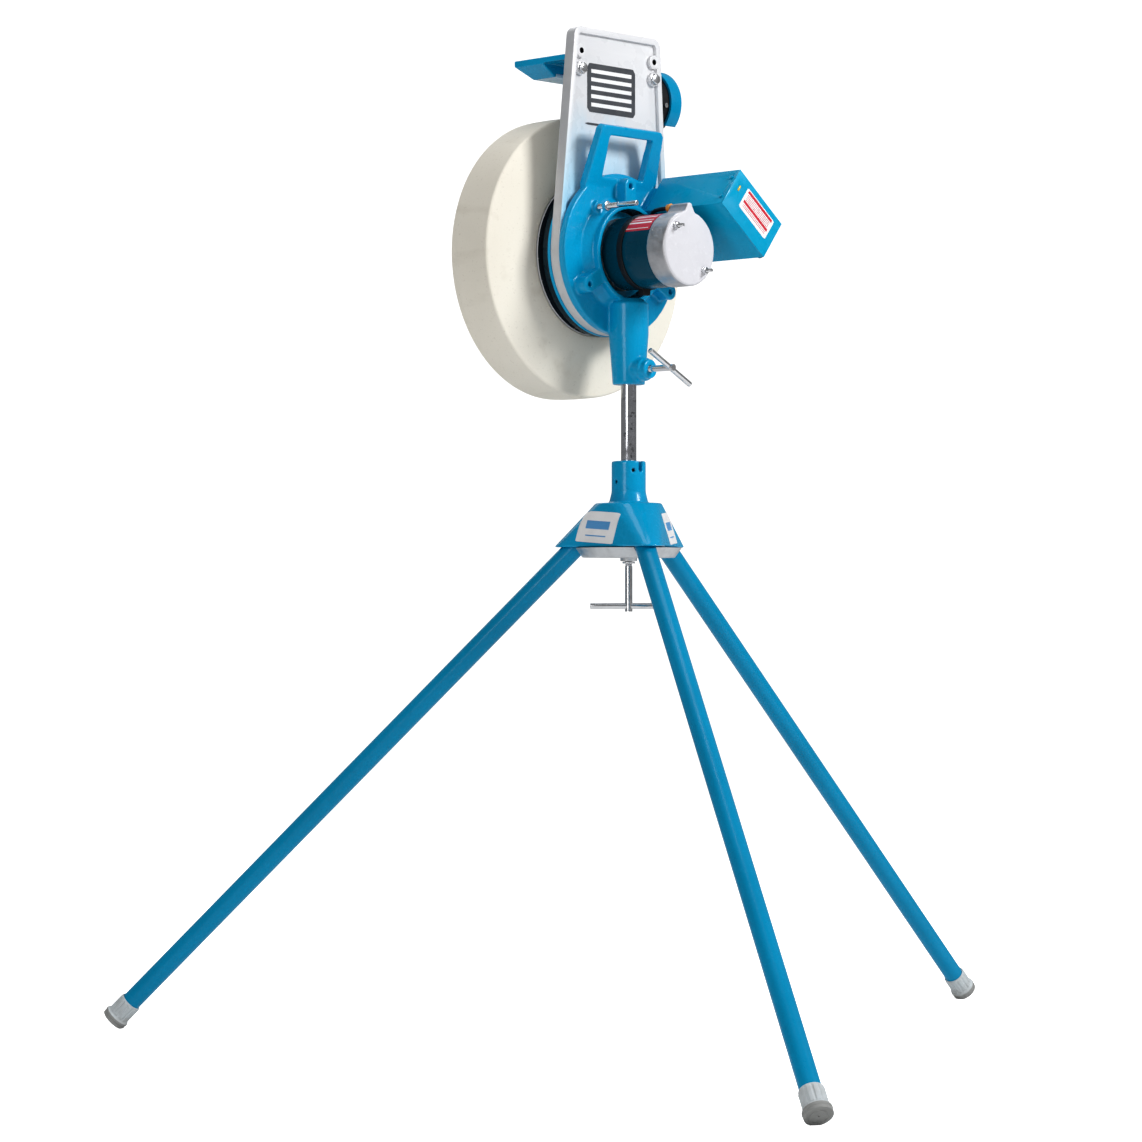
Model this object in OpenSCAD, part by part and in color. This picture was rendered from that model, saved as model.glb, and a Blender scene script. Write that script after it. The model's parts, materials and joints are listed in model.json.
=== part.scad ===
// Wheel-type baseball pitching machine on a three-legged stand.
// The ball is squeezed between a spinning pneumatic tyre and a pad above it, and thrown along +X.
// Origin: on the floor under the post.  +X is the throwing direction, -Y the motor side, +Z up.

/* [Tripod] */
// Height at which the three leg axes meet above the floor
apex_z = 788; // [770:1:800]
// Angle of each leg from the vertical
leg_tilt = 45.3; // [44:0.1:46]
// Outside diameter of a leg tube
leg_d = 28.6; // [27:0.1:29]
// Wall thickness of a leg tube
leg_wall = 1.6; // [1.2:0.1:2.5]
// Diameter of the rubber foot's flared base
foot_d = 39; // [37:0.5:41]
// Depth worn flat on the foot where it meets the floor
foot_flat = 1.5; // [1:0.1:2]

/* [Hub] */
// Height of the casting's lower edge
skirt_z = 710; // [708:1:712]
// Height of the flat shoulder round the neck
shoulder_z = 773; // [771:1:775]
// Height of the top of the neck
neck_top_z = 833; // [825:1:840]
// Diameter of the neck
neck_d = 49; // [46:0.5:52]
// Diameter of the post
post_d = 22.2; // [21.8:0.1:22.4]

/* [Wheel] */
// Height of the wheel and motor axis
axis_z = 1129; // [1128:1:1130]
// Distance from the post axis to the wheel's middle plane
wheel_y = 121; // [120:0.5:122]
// Outside diameter of the tyre
tyre_d = 406; // [404:1:407]
// Width of the flat tread
tread_w = 70; // [66:1:74]
// Width across the sidewalls at the rim
sidewall_w = 98; // [96:1:98]
// Diameter of the rim's flanges
rim_flange_d = 226; // [222:1:228]

/* [Head] */
// Radius of the casting's round flange
flange_r = 116; // [114:0.5:117]
// Radius of the circle of ear holes
ear_circle_r = 97; // [96:0.5:98]
// Diameter of the ear holes
ear_hole_d = 8; // [6.5:0.5:9]
// Height of the carrying handle's top
handle_top_z = 1309; // [1305:1:1312]
// Outside diameter of the motor
motor_d = 104; // [102:0.5:106]

/* [Ball guide] */
// Height of the face plate's top edge
plate_top_z = 1450; // [1446:1:1454]
// Distance between the two guide bolts, and between the two spare holes above them
guide_bolt_gap = 152.4; // [150:0.1:154]
// Diameter of the guide bolt holes and the spare holes
guide_hole_d = 8.4; // [8.2:0.1:9]
// Gap between the tyre and the pressure pad
ball_gap = 55; // [53:1:58]

/* [Control box] */
// Long side of the box's end face
box_w = 114; // [112:1:116]
// Short side of the box's end face
box_t = 64; // [62:1:65]
// Slope of the box's long side
box_tilt = 38; // [37:0.5:39]

/* [Hidden] */
$fn = 72;
fit = 0.05;                 // radial running clearance of pins and shafts
gap = 0.3;                  // gap between parts that pass each other
eps = 1;                    // how far a cutter runs past a face

leg_r = leg_d / 2;
leg_az = [0, 120, 240];
leg_sides = ["front", "wheel_side", "motor_side"];
leg_in = 62;                // distance from the apex to the tube's upper end
leg_len = (apex_z + foot_flat - foot_d / 2 * sin(leg_tilt)) / cos(leg_tilt);
foot_floor = 7;             // rubber under the tube's end
foot_h = 40;

post_r = post_d / 2;
post_foot_z = 771;
post_top_z = 1040;
neck_r = neck_d / 2;
screw_r = 5.35;             // stand clamp screw
screw_travel_z = 750;       // blind end of the stand clamp screw's thread
tee_z = 626;
plate_low_z = skirt_z - 15; // underside of the leg clamp plate
set_screw_places = [[240, 819.5], [172, 803]];  // azimuth and height in the neck

head_foot_z = 942;          // lower end of the head's socket
socket_top_z = 1046;        // blind end of the post bore
pan_z = 963;                // height of the pan clamp screw
pan_screw_r = 4.75;
pan_tee_y = -80;
pan_tee_lean = 28;
pan_tee_r = 4;

flange_y0 = 15;             // front face of the casting's flange
flange_y1 = 27;             // back face, against the face plate
collar_y = -6;              // front face of the collar round the motor
collar_r = 70;
collar_bore_r = 63.5;
spigot_r = 60;              // the face plate turns on this
spigot_y = 44;
ear_az = [90, 210, 330];
ear_y = -5;
lock_az = 129;
lock_r = 82.5;              // radius of the elevation lock from the wheel axis

plate_y0 = 27.3;
plate_y1 = 43.7;
plate_r = 115;              // round lower end of the face plate
plate_corner_r = 14;
plate_xl = -83;
plate_xr = 97;
guide_cx = 8;               // middle of the two guide bolts
guide_bolt_z = 1391;
spare_hole_z = 1416;
rear_disc_y1 = 58;
disc_screw_az = [30 : 60 : 330];
disc_screw_r = 54;          // radius of the circle of rear disc screws

tyre_r = tyre_d / 2;
bead_r = 101.6;             // bead seat of a rim for an 8 inch tyre
rim_r = rim_flange_d / 2;
shaft_r = 7.95;
shaft_end_r = 6;
hub_face_y = wheel_y - 3;   // the rim halves bolt against this face
hub_bolt_az = [45 : 90 : 315];
hub_bolt_r = 36;
motor_r = motor_d / 2;
can_y0 = -83;
can_y1 = 4;
cap_y = -118;
bolt_az = [135, 315];       // the motor's two through bolts
bolt_r = 42;
mount_bolt_az = [45 : 90 : 315];
mount_bolt_r = 36;          // circle of the four bolts that hold the motor
nub_z = 59.5;               // ridge along the top of the end cap
nub_r = 5;
grommet_z = nub_z;
strap_y = -36;
strap_w = 10;

pad_z = axis_z + tyre_r + ball_gap;
pad_t = 5;
shelf_z = pad_z + 18;
hood_z = 1372;              // axis of the exit tube
tube_r = 46.5;
tube_t = 5.5;
tube_x0 = 66;               // the end of the exit tube where the ball goes in
lip_x = -77;
ramp_x = -52;
shoe_x1 = 12;

box_cx = 102;
box_cz = 1184;
box_y0 = -145;
box_y1 = 4;
box_wall = 3;
cover_t = 2.5;
knob_x = -14;
knob_y = -112;
rocker_x = 26;
box_screw_x = [-46, -10];
inlet_y = -120;
fuse_y = -92;
inlet_z = -12;
lamp_x = -43;
lamp_z = 9;
lamp_w = 3;
lamp_h = 9;
cover_screw_y = box_y0 + 9;
cover_screw_z = 18;
tab_t = 2;                  // the cover's two tabs, inside the box's short sides
tab_l = 14;
tab_w = 48;

lead_d = 6;
lead_hole = [-46.5, -14];   // in the box's underside
// The motor lead's route, from the grommet on the motor to inside the box
lead_path = [[0, -76, 1188.5], [0.4, -68.7, 1188.5], [1.5, -61.5, 1188.5], [3.5, -54.5, 1188.4],
             [6.1, -47.7, 1188.2], [9.4, -41.3, 1187.7], [13.4, -35.2, 1187], [17.9, -29.6, 1185.8],
             [22.8, -24.5, 1184], [27.9, -20, 1181.5], [31.9, -17.1, 1180.7], [36.3, -15.5, 1180.6],
             [40.5, -14.4, 1182.2], [44, -14, 1185.3], [45.6, -14, 1187.3], [47.1, -14, 1189.3]];

// ---------- Shared shapes ----------

// Cylinder along Y from y0 to y1, with radius r at y0 and r_end at y1
module y_cyl(r, y0, y1, r_end = undef) {
    translate([0, y0, 0]) rotate([-90, 0, 0])
        cylinder(r1 = r, r2 = is_undef(r_end) ? r : r_end, h = y1 - y0);
}

module y_ring(r_out, r_in, y0, y1) {
    difference() {
        y_cyl(r_out, y0, y1);
        y_cyl(r_in, y0 - eps, y1 + eps);
    }
}

// Solid turned about Y from [radius, y] points
module y_turned(points) {
    rotate([-90, 0, 0]) rotate_extrude() polygon(points);
}

// An outline drawn in (x, z), made solid from y0 to y1
module upright(y0, y1) {
    translate([0, y1, 0]) rotate([90, 0, 0]) linear_extrude(y1 - y0) children();
}

// Places children at a radius and an angle round the Y axis
module polar_y(r, az) {
    translate([r * cos(az), 0, r * sin(az)]) children();
}

module at_axis() {
    translate([0, 0, axis_z]) children();
}

// Hexagonal prism along Y, given its width across flats
module y_hex(across, y0, y1) {
    translate([0, y0, 0]) rotate([-90, 0, 0])
        cylinder(r = across / sqrt(3), h = y1 - y0, $fn = 6);
}

// The children's +Z runs down the leg, starting where the leg axes meet
module on_leg(az) {
    translate([0, 0, apex_z]) rotate([0, 0, az]) rotate([0, 180 - leg_tilt, 0]) children();
}

// Frame of the sloping control box: X along its long side, Z out through its top face
module box_frame() {
    translate([box_cx, 0, box_cz]) rotate([0, box_tilt, 0]) children();
}

// Part of a tube along X round the ball's exit, open for gap_half degrees each side of straight down
module exit_arc(r_in, r_out, x0, x1, gap_half) {
    translate([x0, wheel_y, hood_z]) rotate([0, 90, 0]) rotate([0, 0, gap_half])
        rotate_extrude(angle = 360 - 2 * gap_half) translate([r_in, 0]) square([r_out - r_in, x1 - x0]);
}

// ---------- Tripod ----------

module skirt(inset) {
    lobe_r = leg_r + 7.5 - inset;
    intersection() {
        hull() {
            translate([0, 0, shoulder_z - 14 - inset]) cylinder(r = 47 - inset, h = 14, $fn = 32);
            for (az = leg_az) on_leg(az) translate([0, 0, 70]) cylinder(r = lobe_r, h = 62, $fn = 32);
        }
        translate([0, 0, skirt_z - (inset > 0 ? eps : 0)]) cylinder(r = 140, h = 90);
    }
}

module hub_casting() {
    neck_flare_z = 790;
    boss_r = 17;
    socket_wall = 5;
    slot_w = 7;
    color("deepskyblue") difference() {
        union() {
            difference() {
                skirt(0);
                skirt(6);
            }
            intersection() {
                skirt(0);
                union() {
                    for (az = leg_az) on_leg(az) translate([0, 0, leg_in - 10])
                        cylinder(r = leg_r + socket_wall, h = 60);
                    translate([0, 0, skirt_z + 4]) cylinder(r = boss_r, h = 70);
                }
            }
            translate([0, 0, shoulder_z - 2]) cylinder(r = neck_r, h = neck_top_z - shoulder_z + 2);
            translate([0, 0, shoulder_z - 1])
                cylinder(r1 = neck_r + 4, r2 = neck_r, h = neck_flare_z - shoulder_z);
        }
        translate([0, 0, post_foot_z]) cylinder(r = post_r + fit, h = 90);
        for (az = leg_az) on_leg(az) translate([0, 0, leg_in]) cylinder(r = leg_r + gap, h = 200);
        translate([0, 0, skirt_z - 20]) cylinder(r = screw_r + fit, h = screw_travel_z - skirt_z + 20);
        translate([-slot_w / 2, -neck_r - 5, neck_top_z - 16]) cube([slot_w, neck_r, 20]);
        for (h = set_screw_places) translate([0, 0, h[1]]) rotate([0, 0, h[0]]) rotate([0, 90, 0])
            cylinder(r = 3, h = 40);
    }
}

module hub_set_screws() {
    color("dimgray") for (h = set_screw_places) translate([0, 0, h[1]]) rotate([0, 0, h[0]])
        rotate([0, 90, 0]) difference() {
            translate([0, 0, post_r + 0.4]) cylinder(r = 2.95, h = 9);
            translate([0, 0, post_r + 5.4]) cylinder(r = 1.5, h = 6, $fn = 6);
        }
}

module post() {
    chamfer = 1.5;
    color("silver") translate([0, 0, post_foot_z]) union() {
        cylinder(r = post_r, h = post_top_z - post_foot_z - chamfer);
        translate([0, 0, post_top_z - post_foot_z - chamfer])
            cylinder(r1 = post_r, r2 = post_r - chamfer, h = chamfer);
    }
}

module leg_tube(az) {
    color("deepskyblue") on_leg(az) translate([0, 0, leg_in + 0.1]) difference() {
        cylinder(r = leg_r, h = leg_len - foot_floor - leg_in - 0.1);
        translate([0, 0, -eps]) cylinder(r = leg_r - leg_wall, h = leg_len);
    }
}

module foot_tip(az) {
    sleeve_r = 17;
    flare_h = 7;
    rim_h = 5;
    color("lightgray") difference() {
        on_leg(az) difference() {
            union() {
                translate([0, 0, leg_len - foot_h]) cylinder(r = sleeve_r, h = foot_h - rim_h);
                translate([0, 0, leg_len - rim_h - flare_h])
                    cylinder(r1 = sleeve_r, r2 = foot_d / 2, h = flare_h);
                translate([0, 0, leg_len - rim_h]) cylinder(r = foot_d / 2, h = rim_h);
            }
            translate([0, 0, leg_len - foot_h - eps])
                cylinder(r = leg_r + fit, h = foot_h - foot_floor + eps);
        }
        translate([-1000, -1000, -50]) cube([2000, 2000, 50]);
    }
}

module clamp_plate() {
    boss_h = 5;
    color("gainsboro") difference() {
        union() {
            translate([0, 0, plate_low_z]) cylinder(r1 = 66, r2 = 76, h = 14);
            translate([0, 0, plate_low_z - boss_h]) cylinder(r = 12, h = boss_h + 1);
        }
        for (az = leg_az) on_leg(az) translate([0, 0, leg_in]) cylinder(r = leg_r + 0.6, h = 200);
        translate([0, 0, plate_low_z - 10]) cylinder(r = screw_r + fit, h = 40);
    }
}

module clamp_screw() {
    collar_z = plate_low_z - 5;
    color("silver") difference() {
        union() {
            translate([0, 0, tee_z - 8]) cylinder(r = screw_r, h = screw_travel_z - 5 - tee_z + 8);
            translate([0, 0, collar_z - 3.5]) cylinder(r = 9, h = 3.2);
        }
        translate([0, 0, tee_z]) rotate([0, 90, -45]) cylinder(r = 4.5, h = 40, center = true);
    }
}

module clamp_tee() {
    color("silver") translate([0, 0, tee_z]) rotate([0, 90, -45]) cylinder(r = 4.5, h = 110, center = true);
}

// ---------- Head ----------

// Window frame of the carrying handle, drawn flat with its foot at the origin
module handle_outline(h) {
    difference() {
        polygon([[-73, -22], [-73, 0], [-64.5, h - 6], [-59, h], [59, h], [64.5, h - 6], [73, 0], [73, -22]]);
        polygon([[-42, 14], [-44, h - 14], [44, h - 14], [42, 14]]);
    }
}

module handle() {
    lean = 17.2;
    foot_z = 1225;
    thick = 13;
    height = (handle_top_z - foot_z) / cos(lean);
    translate([0, 21.5, foot_z]) rotate([lean, 0, 0]) upright(-thick / 2, thick / 2) handle_outline(height);
}

module ear_boss(az) {
    boss_r = 12;
    arm_w = 23;
    arm_in = collar_r - 8;
    rotate([0, -az, 0]) {
        translate([ear_circle_r, 0, 0]) y_cyl(boss_r, ear_y, flange_y0 + 2);
        translate([arm_in, ear_y, -arm_w / 2]) cube([ear_circle_r - arm_in, flange_y0 - ear_y + 2, arm_w]);
    }
}

module socket() {
    mid_z = 1014;
    difference() {
        union() {
            translate([0, 0, head_foot_z]) cylinder(r1 = 23, r2 = 28.5, h = mid_z - head_foot_z);
            translate([0, 0, mid_z]) cylinder(r = 28.5, h = 44);
            translate([0, 0, mid_z + 44]) cylinder(r1 = 28.5, r2 = 20, h = 7);
            translate([0, 0, pan_z]) y_cyl(17, -34, 0);
            translate([0, 0, pan_z]) y_cyl(14, -43, -34);
        }
        translate([-60, flange_y1, head_foot_z + 62]) cube([120, 30, 160]);
    }
}

module head_casting() {
    web_y = 17;
    color("deepskyblue") difference() {
        union() {
            at_axis() {
                y_cyl(flange_r, flange_y0, flange_y1);
                y_cyl(collar_r, collar_y, flange_y0 + 1);
                y_cyl(collar_r, 3, flange_y0, collar_r + 12);
                y_cyl(spigot_r, flange_y1 - 1, spigot_y);
                for (az = ear_az) ear_boss(az);
                polar_y(lock_r, lock_az) y_cyl(9, 8, flange_y0 + 1);
            }
            intersection() {
                handle();
                translate([-100, -60, 1190]) cube([200, 60 + flange_y1, 200]);
            }
            socket();
            box_frame() translate([-57, box_y1, -40]) cube([70, 16, 54]);
        }
        at_axis() {
            y_cyl(collar_bore_r, collar_y - eps, web_y);
            y_cyl(26 + fit, web_y - eps, flange_y1 + eps);
            y_cyl(48, flange_y1, spigot_y + eps);
            for (az = ear_az) polar_y(ear_circle_r, az) y_cyl(ear_hole_d / 2, ear_y - eps, flange_y1 + eps);
            polar_y(lock_r, lock_az) y_cyl(4, 0, flange_y1 + eps);
            for (az = mount_bolt_az) polar_y(mount_bolt_r, az) y_cyl(3.1, web_y - eps, flange_y1 + eps);
            for (az = disc_screw_az) polar_y(disc_screw_r, az) y_cyl(2.5, spigot_y - 12, spigot_y + eps);
        }
        translate([0, 0, head_foot_z - eps]) cylinder(r = post_r + fit, h = socket_top_z - head_foot_z + eps);
        translate([0, 0, pan_z]) y_cyl(pan_screw_r + fit, -60, 0);
        box_frame() for (x = box_screw_x) translate([x, 0, 0]) y_cyl(2.6, box_y1 - eps, box_y1 + 13);
    }
}

module rear_disc() {
    color("deepskyblue") at_axis() difference() {
        union() {
            y_ring(flange_r, 42, spigot_y, spigot_y + 6);
            y_ring(flange_r, flange_r - 9, spigot_y, rear_disc_y1);
        }
        for (az = disc_screw_az) polar_y(disc_screw_r, az) y_cyl(2.6, spigot_y - eps, spigot_y + 7);
    }
}

module rear_disc_screws() {
    color("silver") at_axis() for (az = disc_screw_az) polar_y(disc_screw_r, az) {
        y_cyl(2.45, spigot_y - 10, spigot_y + 6);
        y_cyl(4.5, spigot_y + 6, spigot_y + 9.5);
    }
}

module pan_clamp_pad() {
    color("goldenrod") translate([0, 0, pan_z]) y_cyl(pan_screw_r - 0.05, -16, -post_r - gap);
}

module pan_tee_bar(length) {
    translate([0, pan_tee_y, 0]) rotate([0, 90 + pan_tee_lean, 0])
        cylinder(r = pan_tee_r, h = length, center = true);
}

module pan_clamp_screw() {
    color("silver") translate([0, 0, pan_z]) difference() {
        y_cyl(pan_screw_r, -87, -16.1);
        pan_tee_bar(40);
    }
}

module pan_clamp_tee() {
    color("silver") translate([0, 0, pan_z]) pan_tee_bar(95);
}

module at_lock() {
    at_axis() polar_y(lock_r, lock_az) children();
}

module elevation_lock_pad() {
    color("goldenrod") at_lock() y_cyl(3.9, 23, flange_y1);
}

module elevation_lock_screw() {
    color("silver") at_lock() {
        y_cyl(3.95, -12, 22.9);
        y_cyl(3.7, -65, -12);
    }
}

module elevation_lock_nut() {
    color("silver") at_lock() difference() {
        y_hex(13, -9, -2.5);
        y_cyl(3.98, -10, 0);
    }
}

// ---------- Motor ----------

module motor_can() {
    color("darkcyan") at_axis() y_ring(motor_r, motor_r - 3.5, can_y0, can_y1);
}

module motor_drive_bell() {
    color("slategray") at_axis() difference() {
        union() {
            y_cyl(motor_r, can_y1, 17);
            y_cyl(26, 17, flange_y1);
        }
        y_cyl(17.5, 12, flange_y1 + eps);
        y_cyl(9.5, can_y1 - eps, 13);
        for (az = bolt_az) polar_y(bolt_r, az) y_cyl(2.6, can_y1 - eps, 14);
        for (az = mount_bolt_az) polar_y(mount_bolt_r, az) y_cyl(2.6, 7, 17 + eps);
    }
}

// Section of the ridge along the top of the end cap
module nub_outline() {
    polygon([[-12, motor_r - 4], [12, motor_r - 4], [nub_r, nub_z], [-nub_r, nub_z]]);
    translate([0, nub_z]) circle(r = nub_r);
}

module motor_end_cap() {
    color("whitesmoke") at_axis() difference() {
        union() {
            y_cyl(motor_r + 1, cap_y + 3, can_y0);
            y_cyl(motor_r - 2, cap_y, cap_y + 3, motor_r + 1);
            upright(cap_y, can_y0) nub_outline();
        }
        translate([0, 0, grommet_z]) y_cyl(4, can_y0 - 5, can_y0 + eps);
        y_cyl(motor_r - 3, cap_y + 5, can_y0 + eps);
        for (az = bolt_az) polar_y(bolt_r, az) y_cyl(2.6, cap_y - eps, can_y0);
    }
    color("whitesmoke") at_axis() y_ring(19, 12, cap_y + 5 - 0.2, cap_y + 16);
}

module motor_magnets() {
    color("dimgray") at_axis() for (az = [45, 225])
        translate([0, -70, 0]) rotate([-90, 0, 0]) rotate([0, 0, -az - 55])
            rotate_extrude(angle = 110) translate([37.5, 0]) square([10.9, 64]);
}

module motor_brushes() {
    ring_y = -88;
    color("saddlebrown") at_axis() {
        difference() {
            y_ring(motor_r - 3.2, 30, ring_y, ring_y + 4);
            for (az = bolt_az) polar_y(bolt_r, az) y_cyl(3.2, ring_y - eps, ring_y + 5);
        }
        for (az = [45, 225]) rotate([0, -az, 0]) difference() {
            translate([15.2, ring_y + 4, -5]) cube([20, 10, 10]);
            y_cyl(15.15, ring_y, ring_y + 20);
        }
    }
}

module motor_bearings() {
    color("silver") at_axis() {
        y_ring(17.45, shaft_r + fit, 13, 24);
        y_ring(11.95, shaft_end_r + fit, cap_y + 5.2, cap_y + 15);
    }
}

module motor_through_bolts() {
    color("silver") at_axis() for (az = bolt_az) polar_y(bolt_r, az) {
        y_cyl(2.5, cap_y - 15, 12);
        difference() {
            y_hex(9, cap_y - 5, cap_y - 0.05);
            y_cyl(2.4, cap_y - 6, cap_y);
        }
    }
}

module motor_mount_bolts() {
    color("silver") at_axis() for (az = mount_bolt_az) polar_y(mount_bolt_r, az) {
        y_cyl(2.5, 8, flange_y1);
        y_hex(9, flange_y1 + 0.05, flange_y1 + 5);
    }
}

module motor_strap() {
    color("black") at_axis() {
        y_ring(motor_r + 2, motor_r + fit, strap_y, strap_y + strap_w);
        translate([-7, strap_y, -motor_r - 9]) cube([14, strap_w, 8]);
    }
}

module lead_grommet() {
    color("darkorange") at_axis() translate([0, 0, grommet_z]) difference() {
        union() {
            y_cyl(6.3, can_y0 + 0.05, can_y0 + 7, 5.5);
            y_cyl(3.95, can_y0 - 4.9, can_y0 + 1);
        }
        y_cyl(lead_d / 2 + 0.1, can_y0 - 6, can_y0 + 8);
    }
}

// One ring of points round a route point, square to the direction of travel
function ring_at(path, i, r, sides) =
    let (a = path[max(i - 1, 0)],
         b = path[min(i + 1, len(path) - 1)],
         t = (b - a) / norm(b - a),
         u0 = cross(t, abs(t[2]) > 0.9 ? [1, 0, 0] : [0, 0, 1]),
         u = u0 / norm(u0),
         v = cross(t, u))
    [for (k = [0 : sides - 1]) path[i] + r * (cos(360 * k / sides) * u + sin(360 * k / sides) * v)];

module swept_tube(path, d, sides = 8) {
    n = len(path);
    points = [for (i = [0 : n - 1]) each ring_at(path, i, d / 2, sides)];
    walls = [for (i = [0 : n - 2]) for (k = [0 : sides - 1])
        let (a = i * sides + k, b = i * sides + (k + 1) % sides) [a, a + sides, b + sides, b]];
    caps = [[for (k = [0 : sides - 1]) k], [for (k = [sides - 1 : -1 : 0]) (n - 1) * sides + k]];
    polyhedron(points, concat(walls, caps));
}

module motor_lead() {
    color("black") swept_tube(lead_path, lead_d);
}

// ---------- Wheel ----------

module motor_shaft() {
    thread_y = 124;
    color("silver") at_axis() {
        y_cyl(shaft_end_r, cap_y + 5.5, -100);
        y_cyl(shaft_r, -100, thread_y);
        y_cyl(shaft_end_r, thread_y, 146);
    }
}

module armature() {
    slots = 12;
    color("peru") at_axis() difference() {
        y_ring(36.5, shaft_r, -66, -12);
        for (k = [0 : slots - 1]) rotate([0, k * 360 / slots, 0])
            translate([29, -67, -1.5]) cube([10, 56, 3]);
    }
}

module commutator() {
    color("chocolate") at_axis() y_ring(15, shaft_r, -92, -72);
}

module wheel_hub() {
    color("dimgray") at_axis() difference() {
        union() {
            y_cyl(21, 76, hub_face_y);
            y_cyl(47, hub_face_y - 8, hub_face_y);
        }
        y_cyl(shaft_r, 70, hub_face_y + eps);
        for (az = hub_bolt_az) polar_y(hub_bolt_r, az) y_cyl(4.1, 100, hub_face_y + eps);
    }
}

// Half of the split rim; side is -1 for the motor side and 1 for the outer side
module rim_half(side) {
    half = sidewall_w / 2 + 1;
    points = [[20, 0], [88, 0], [88, 22], [bead_r, 29], [bead_r, half - 3.5], [rim_r, half - 3.5],
              [rim_r, half], [98.6, half], [98.6, 31], [85, 24.5], [85, 3], [20, 3]];
    at_axis() translate([0, wheel_y, 0]) difference() {
        y_turned([for (p = points) [p[0], side * p[1]]]);
        for (az = hub_bolt_az) polar_y(hub_bolt_r, az) y_cyl(4.1, -5, 5);
    }
}

module rim_near_half() {
    color("silver") rim_half(-1);
}

module rim_far_half() {
    color("silver") difference() {
        rim_half(1);
        at_axis() polar_y(94, 0) y_cyl(4.2, wheel_y, wheel_y + 40);
    }
}

module rim_bolts() {
    color("silver") at_axis() for (az = hub_bolt_az) polar_y(hub_bolt_r, az) {
        y_cyl(4, hub_face_y - 17, wheel_y + 3);
        y_hex(13, wheel_y + 3.05, wheel_y + 8.5);
        difference() {
            y_hex(13, hub_face_y - 15, hub_face_y - 8.05);
            y_cyl(3.9, hub_face_y - 16, hub_face_y - 8);
        }
    }
}

module shaft_nut() {
    color("silver") at_axis() difference() {
        union() {
            y_cyl(19, wheel_y + 3.05, wheel_y + 5.5);
            y_hex(19, wheel_y + 5.5, wheel_y + 16);
        }
        y_cyl(shaft_end_r + fit, wheel_y, wheel_y + 30);
    }
}

module valve_stem() {
    color("black") at_axis() polar_y(94, 0) {
        y_cyl(4.1, wheel_y + 21, wheel_y + 42);
        y_cyl(5.8, wheel_y + 17, wheel_y + 21);
    }
}

module tyre() {
    half = tread_w / 2;
    wide = sidewall_w / 2;
    outer = [[bead_r + 0.2, -30], [bead_r + 0.2, -wide + 4], [rim_r + 0.5, -wide + 3.4], [rim_r + 1.5, -wide],
             [tyre_r - 3, -half - 1], [tyre_r - 1, -half], [tyre_r, 0], [tyre_r - 1, half],
             [tyre_r - 3, half + 1], [rim_r + 1.5, wide], [rim_r + 0.5, wide - 3.4], [bead_r + 0.2, wide - 4],
             [bead_r + 0.2, 30]];
    inner = [[110, 30], [124, wide - 13], [tyre_r - 18, half - 10], [tyre_r - 13, half - 16],
             [tyre_r - 13, 16 - half], [tyre_r - 18, 10 - half], [124, 13 - wide], [110, -30]];
    color("antiquewhite") at_axis() translate([0, wheel_y, 0]) y_turned(concat(outer, inner));
}

// ---------- Ball guide, turned about the wheel axis to set the elevation ----------

// Direction of the tangent point that two circles share, on the given side
function tangent_az(c, r_big, r_small, side) = atan2(c[1], c[0]) + side * acos((r_big - r_small) / norm(c));

function arc_points(c, r, a0, a1, steps) =
    [for (k = [0 : steps]) let (a = a0 + (a1 - a0) * k / steps) c + r * [cos(a), sin(a)]];

// The face plate's outline about the wheel axis, drawn inset by the given amount
module plate_outline(inset) {
    r = plate_r - inset;
    rc = plate_corner_r - inset;
    z = plate_top_z - axis_z - plate_corner_r;
    cl = [plate_xl + plate_corner_r, z];
    cr = [plate_xr - plate_corner_r, z];
    al = tangent_az(cl, r, rc, 1);
    ar = tangent_az(cr, r, rc, -1);
    polygon(concat(arc_points([0, 0], r, al, ar + 360, 60), arc_points(cr, rc, ar, 90, 8),
                   arc_points(cl, rc, 90, al, 8)));
}

module guide_holes(r, z, y0, y1) {
    for (s = [-1, 1]) translate([guide_cx + s * guide_bolt_gap / 2, 0, z]) y_cyl(r, y0, y1);
}

module face_plate() {
    recess = 5;
    web_y = 37;
    color("white") difference() {
        at_axis() upright(plate_y0, plate_y1) plate_outline(0);
        difference() {
            at_axis() upright(plate_y0 - eps, plate_y0 + recess) plate_outline(9);
            at_axis() y_cyl(95, 0, 60);
            guide_holes(10, guide_bolt_z, 0, 60);
            guide_holes(10, spare_hole_z, 0, 60);
        }
        difference() {
            at_axis() upright(web_y, plate_y1 + eps) plate_outline(7);
            at_axis() y_cyl(88, 0, 60);
            translate([lip_x - 1, 0, 1370]) cube([180, 60, 56]);
        }
        at_axis() y_cyl(spigot_r + fit, 0, 60);
        guide_holes(guide_hole_d / 2, guide_bolt_z, 0, 60);
        guide_holes(guide_hole_d / 2, spare_hole_z, 0, 60);
    }
}

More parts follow.
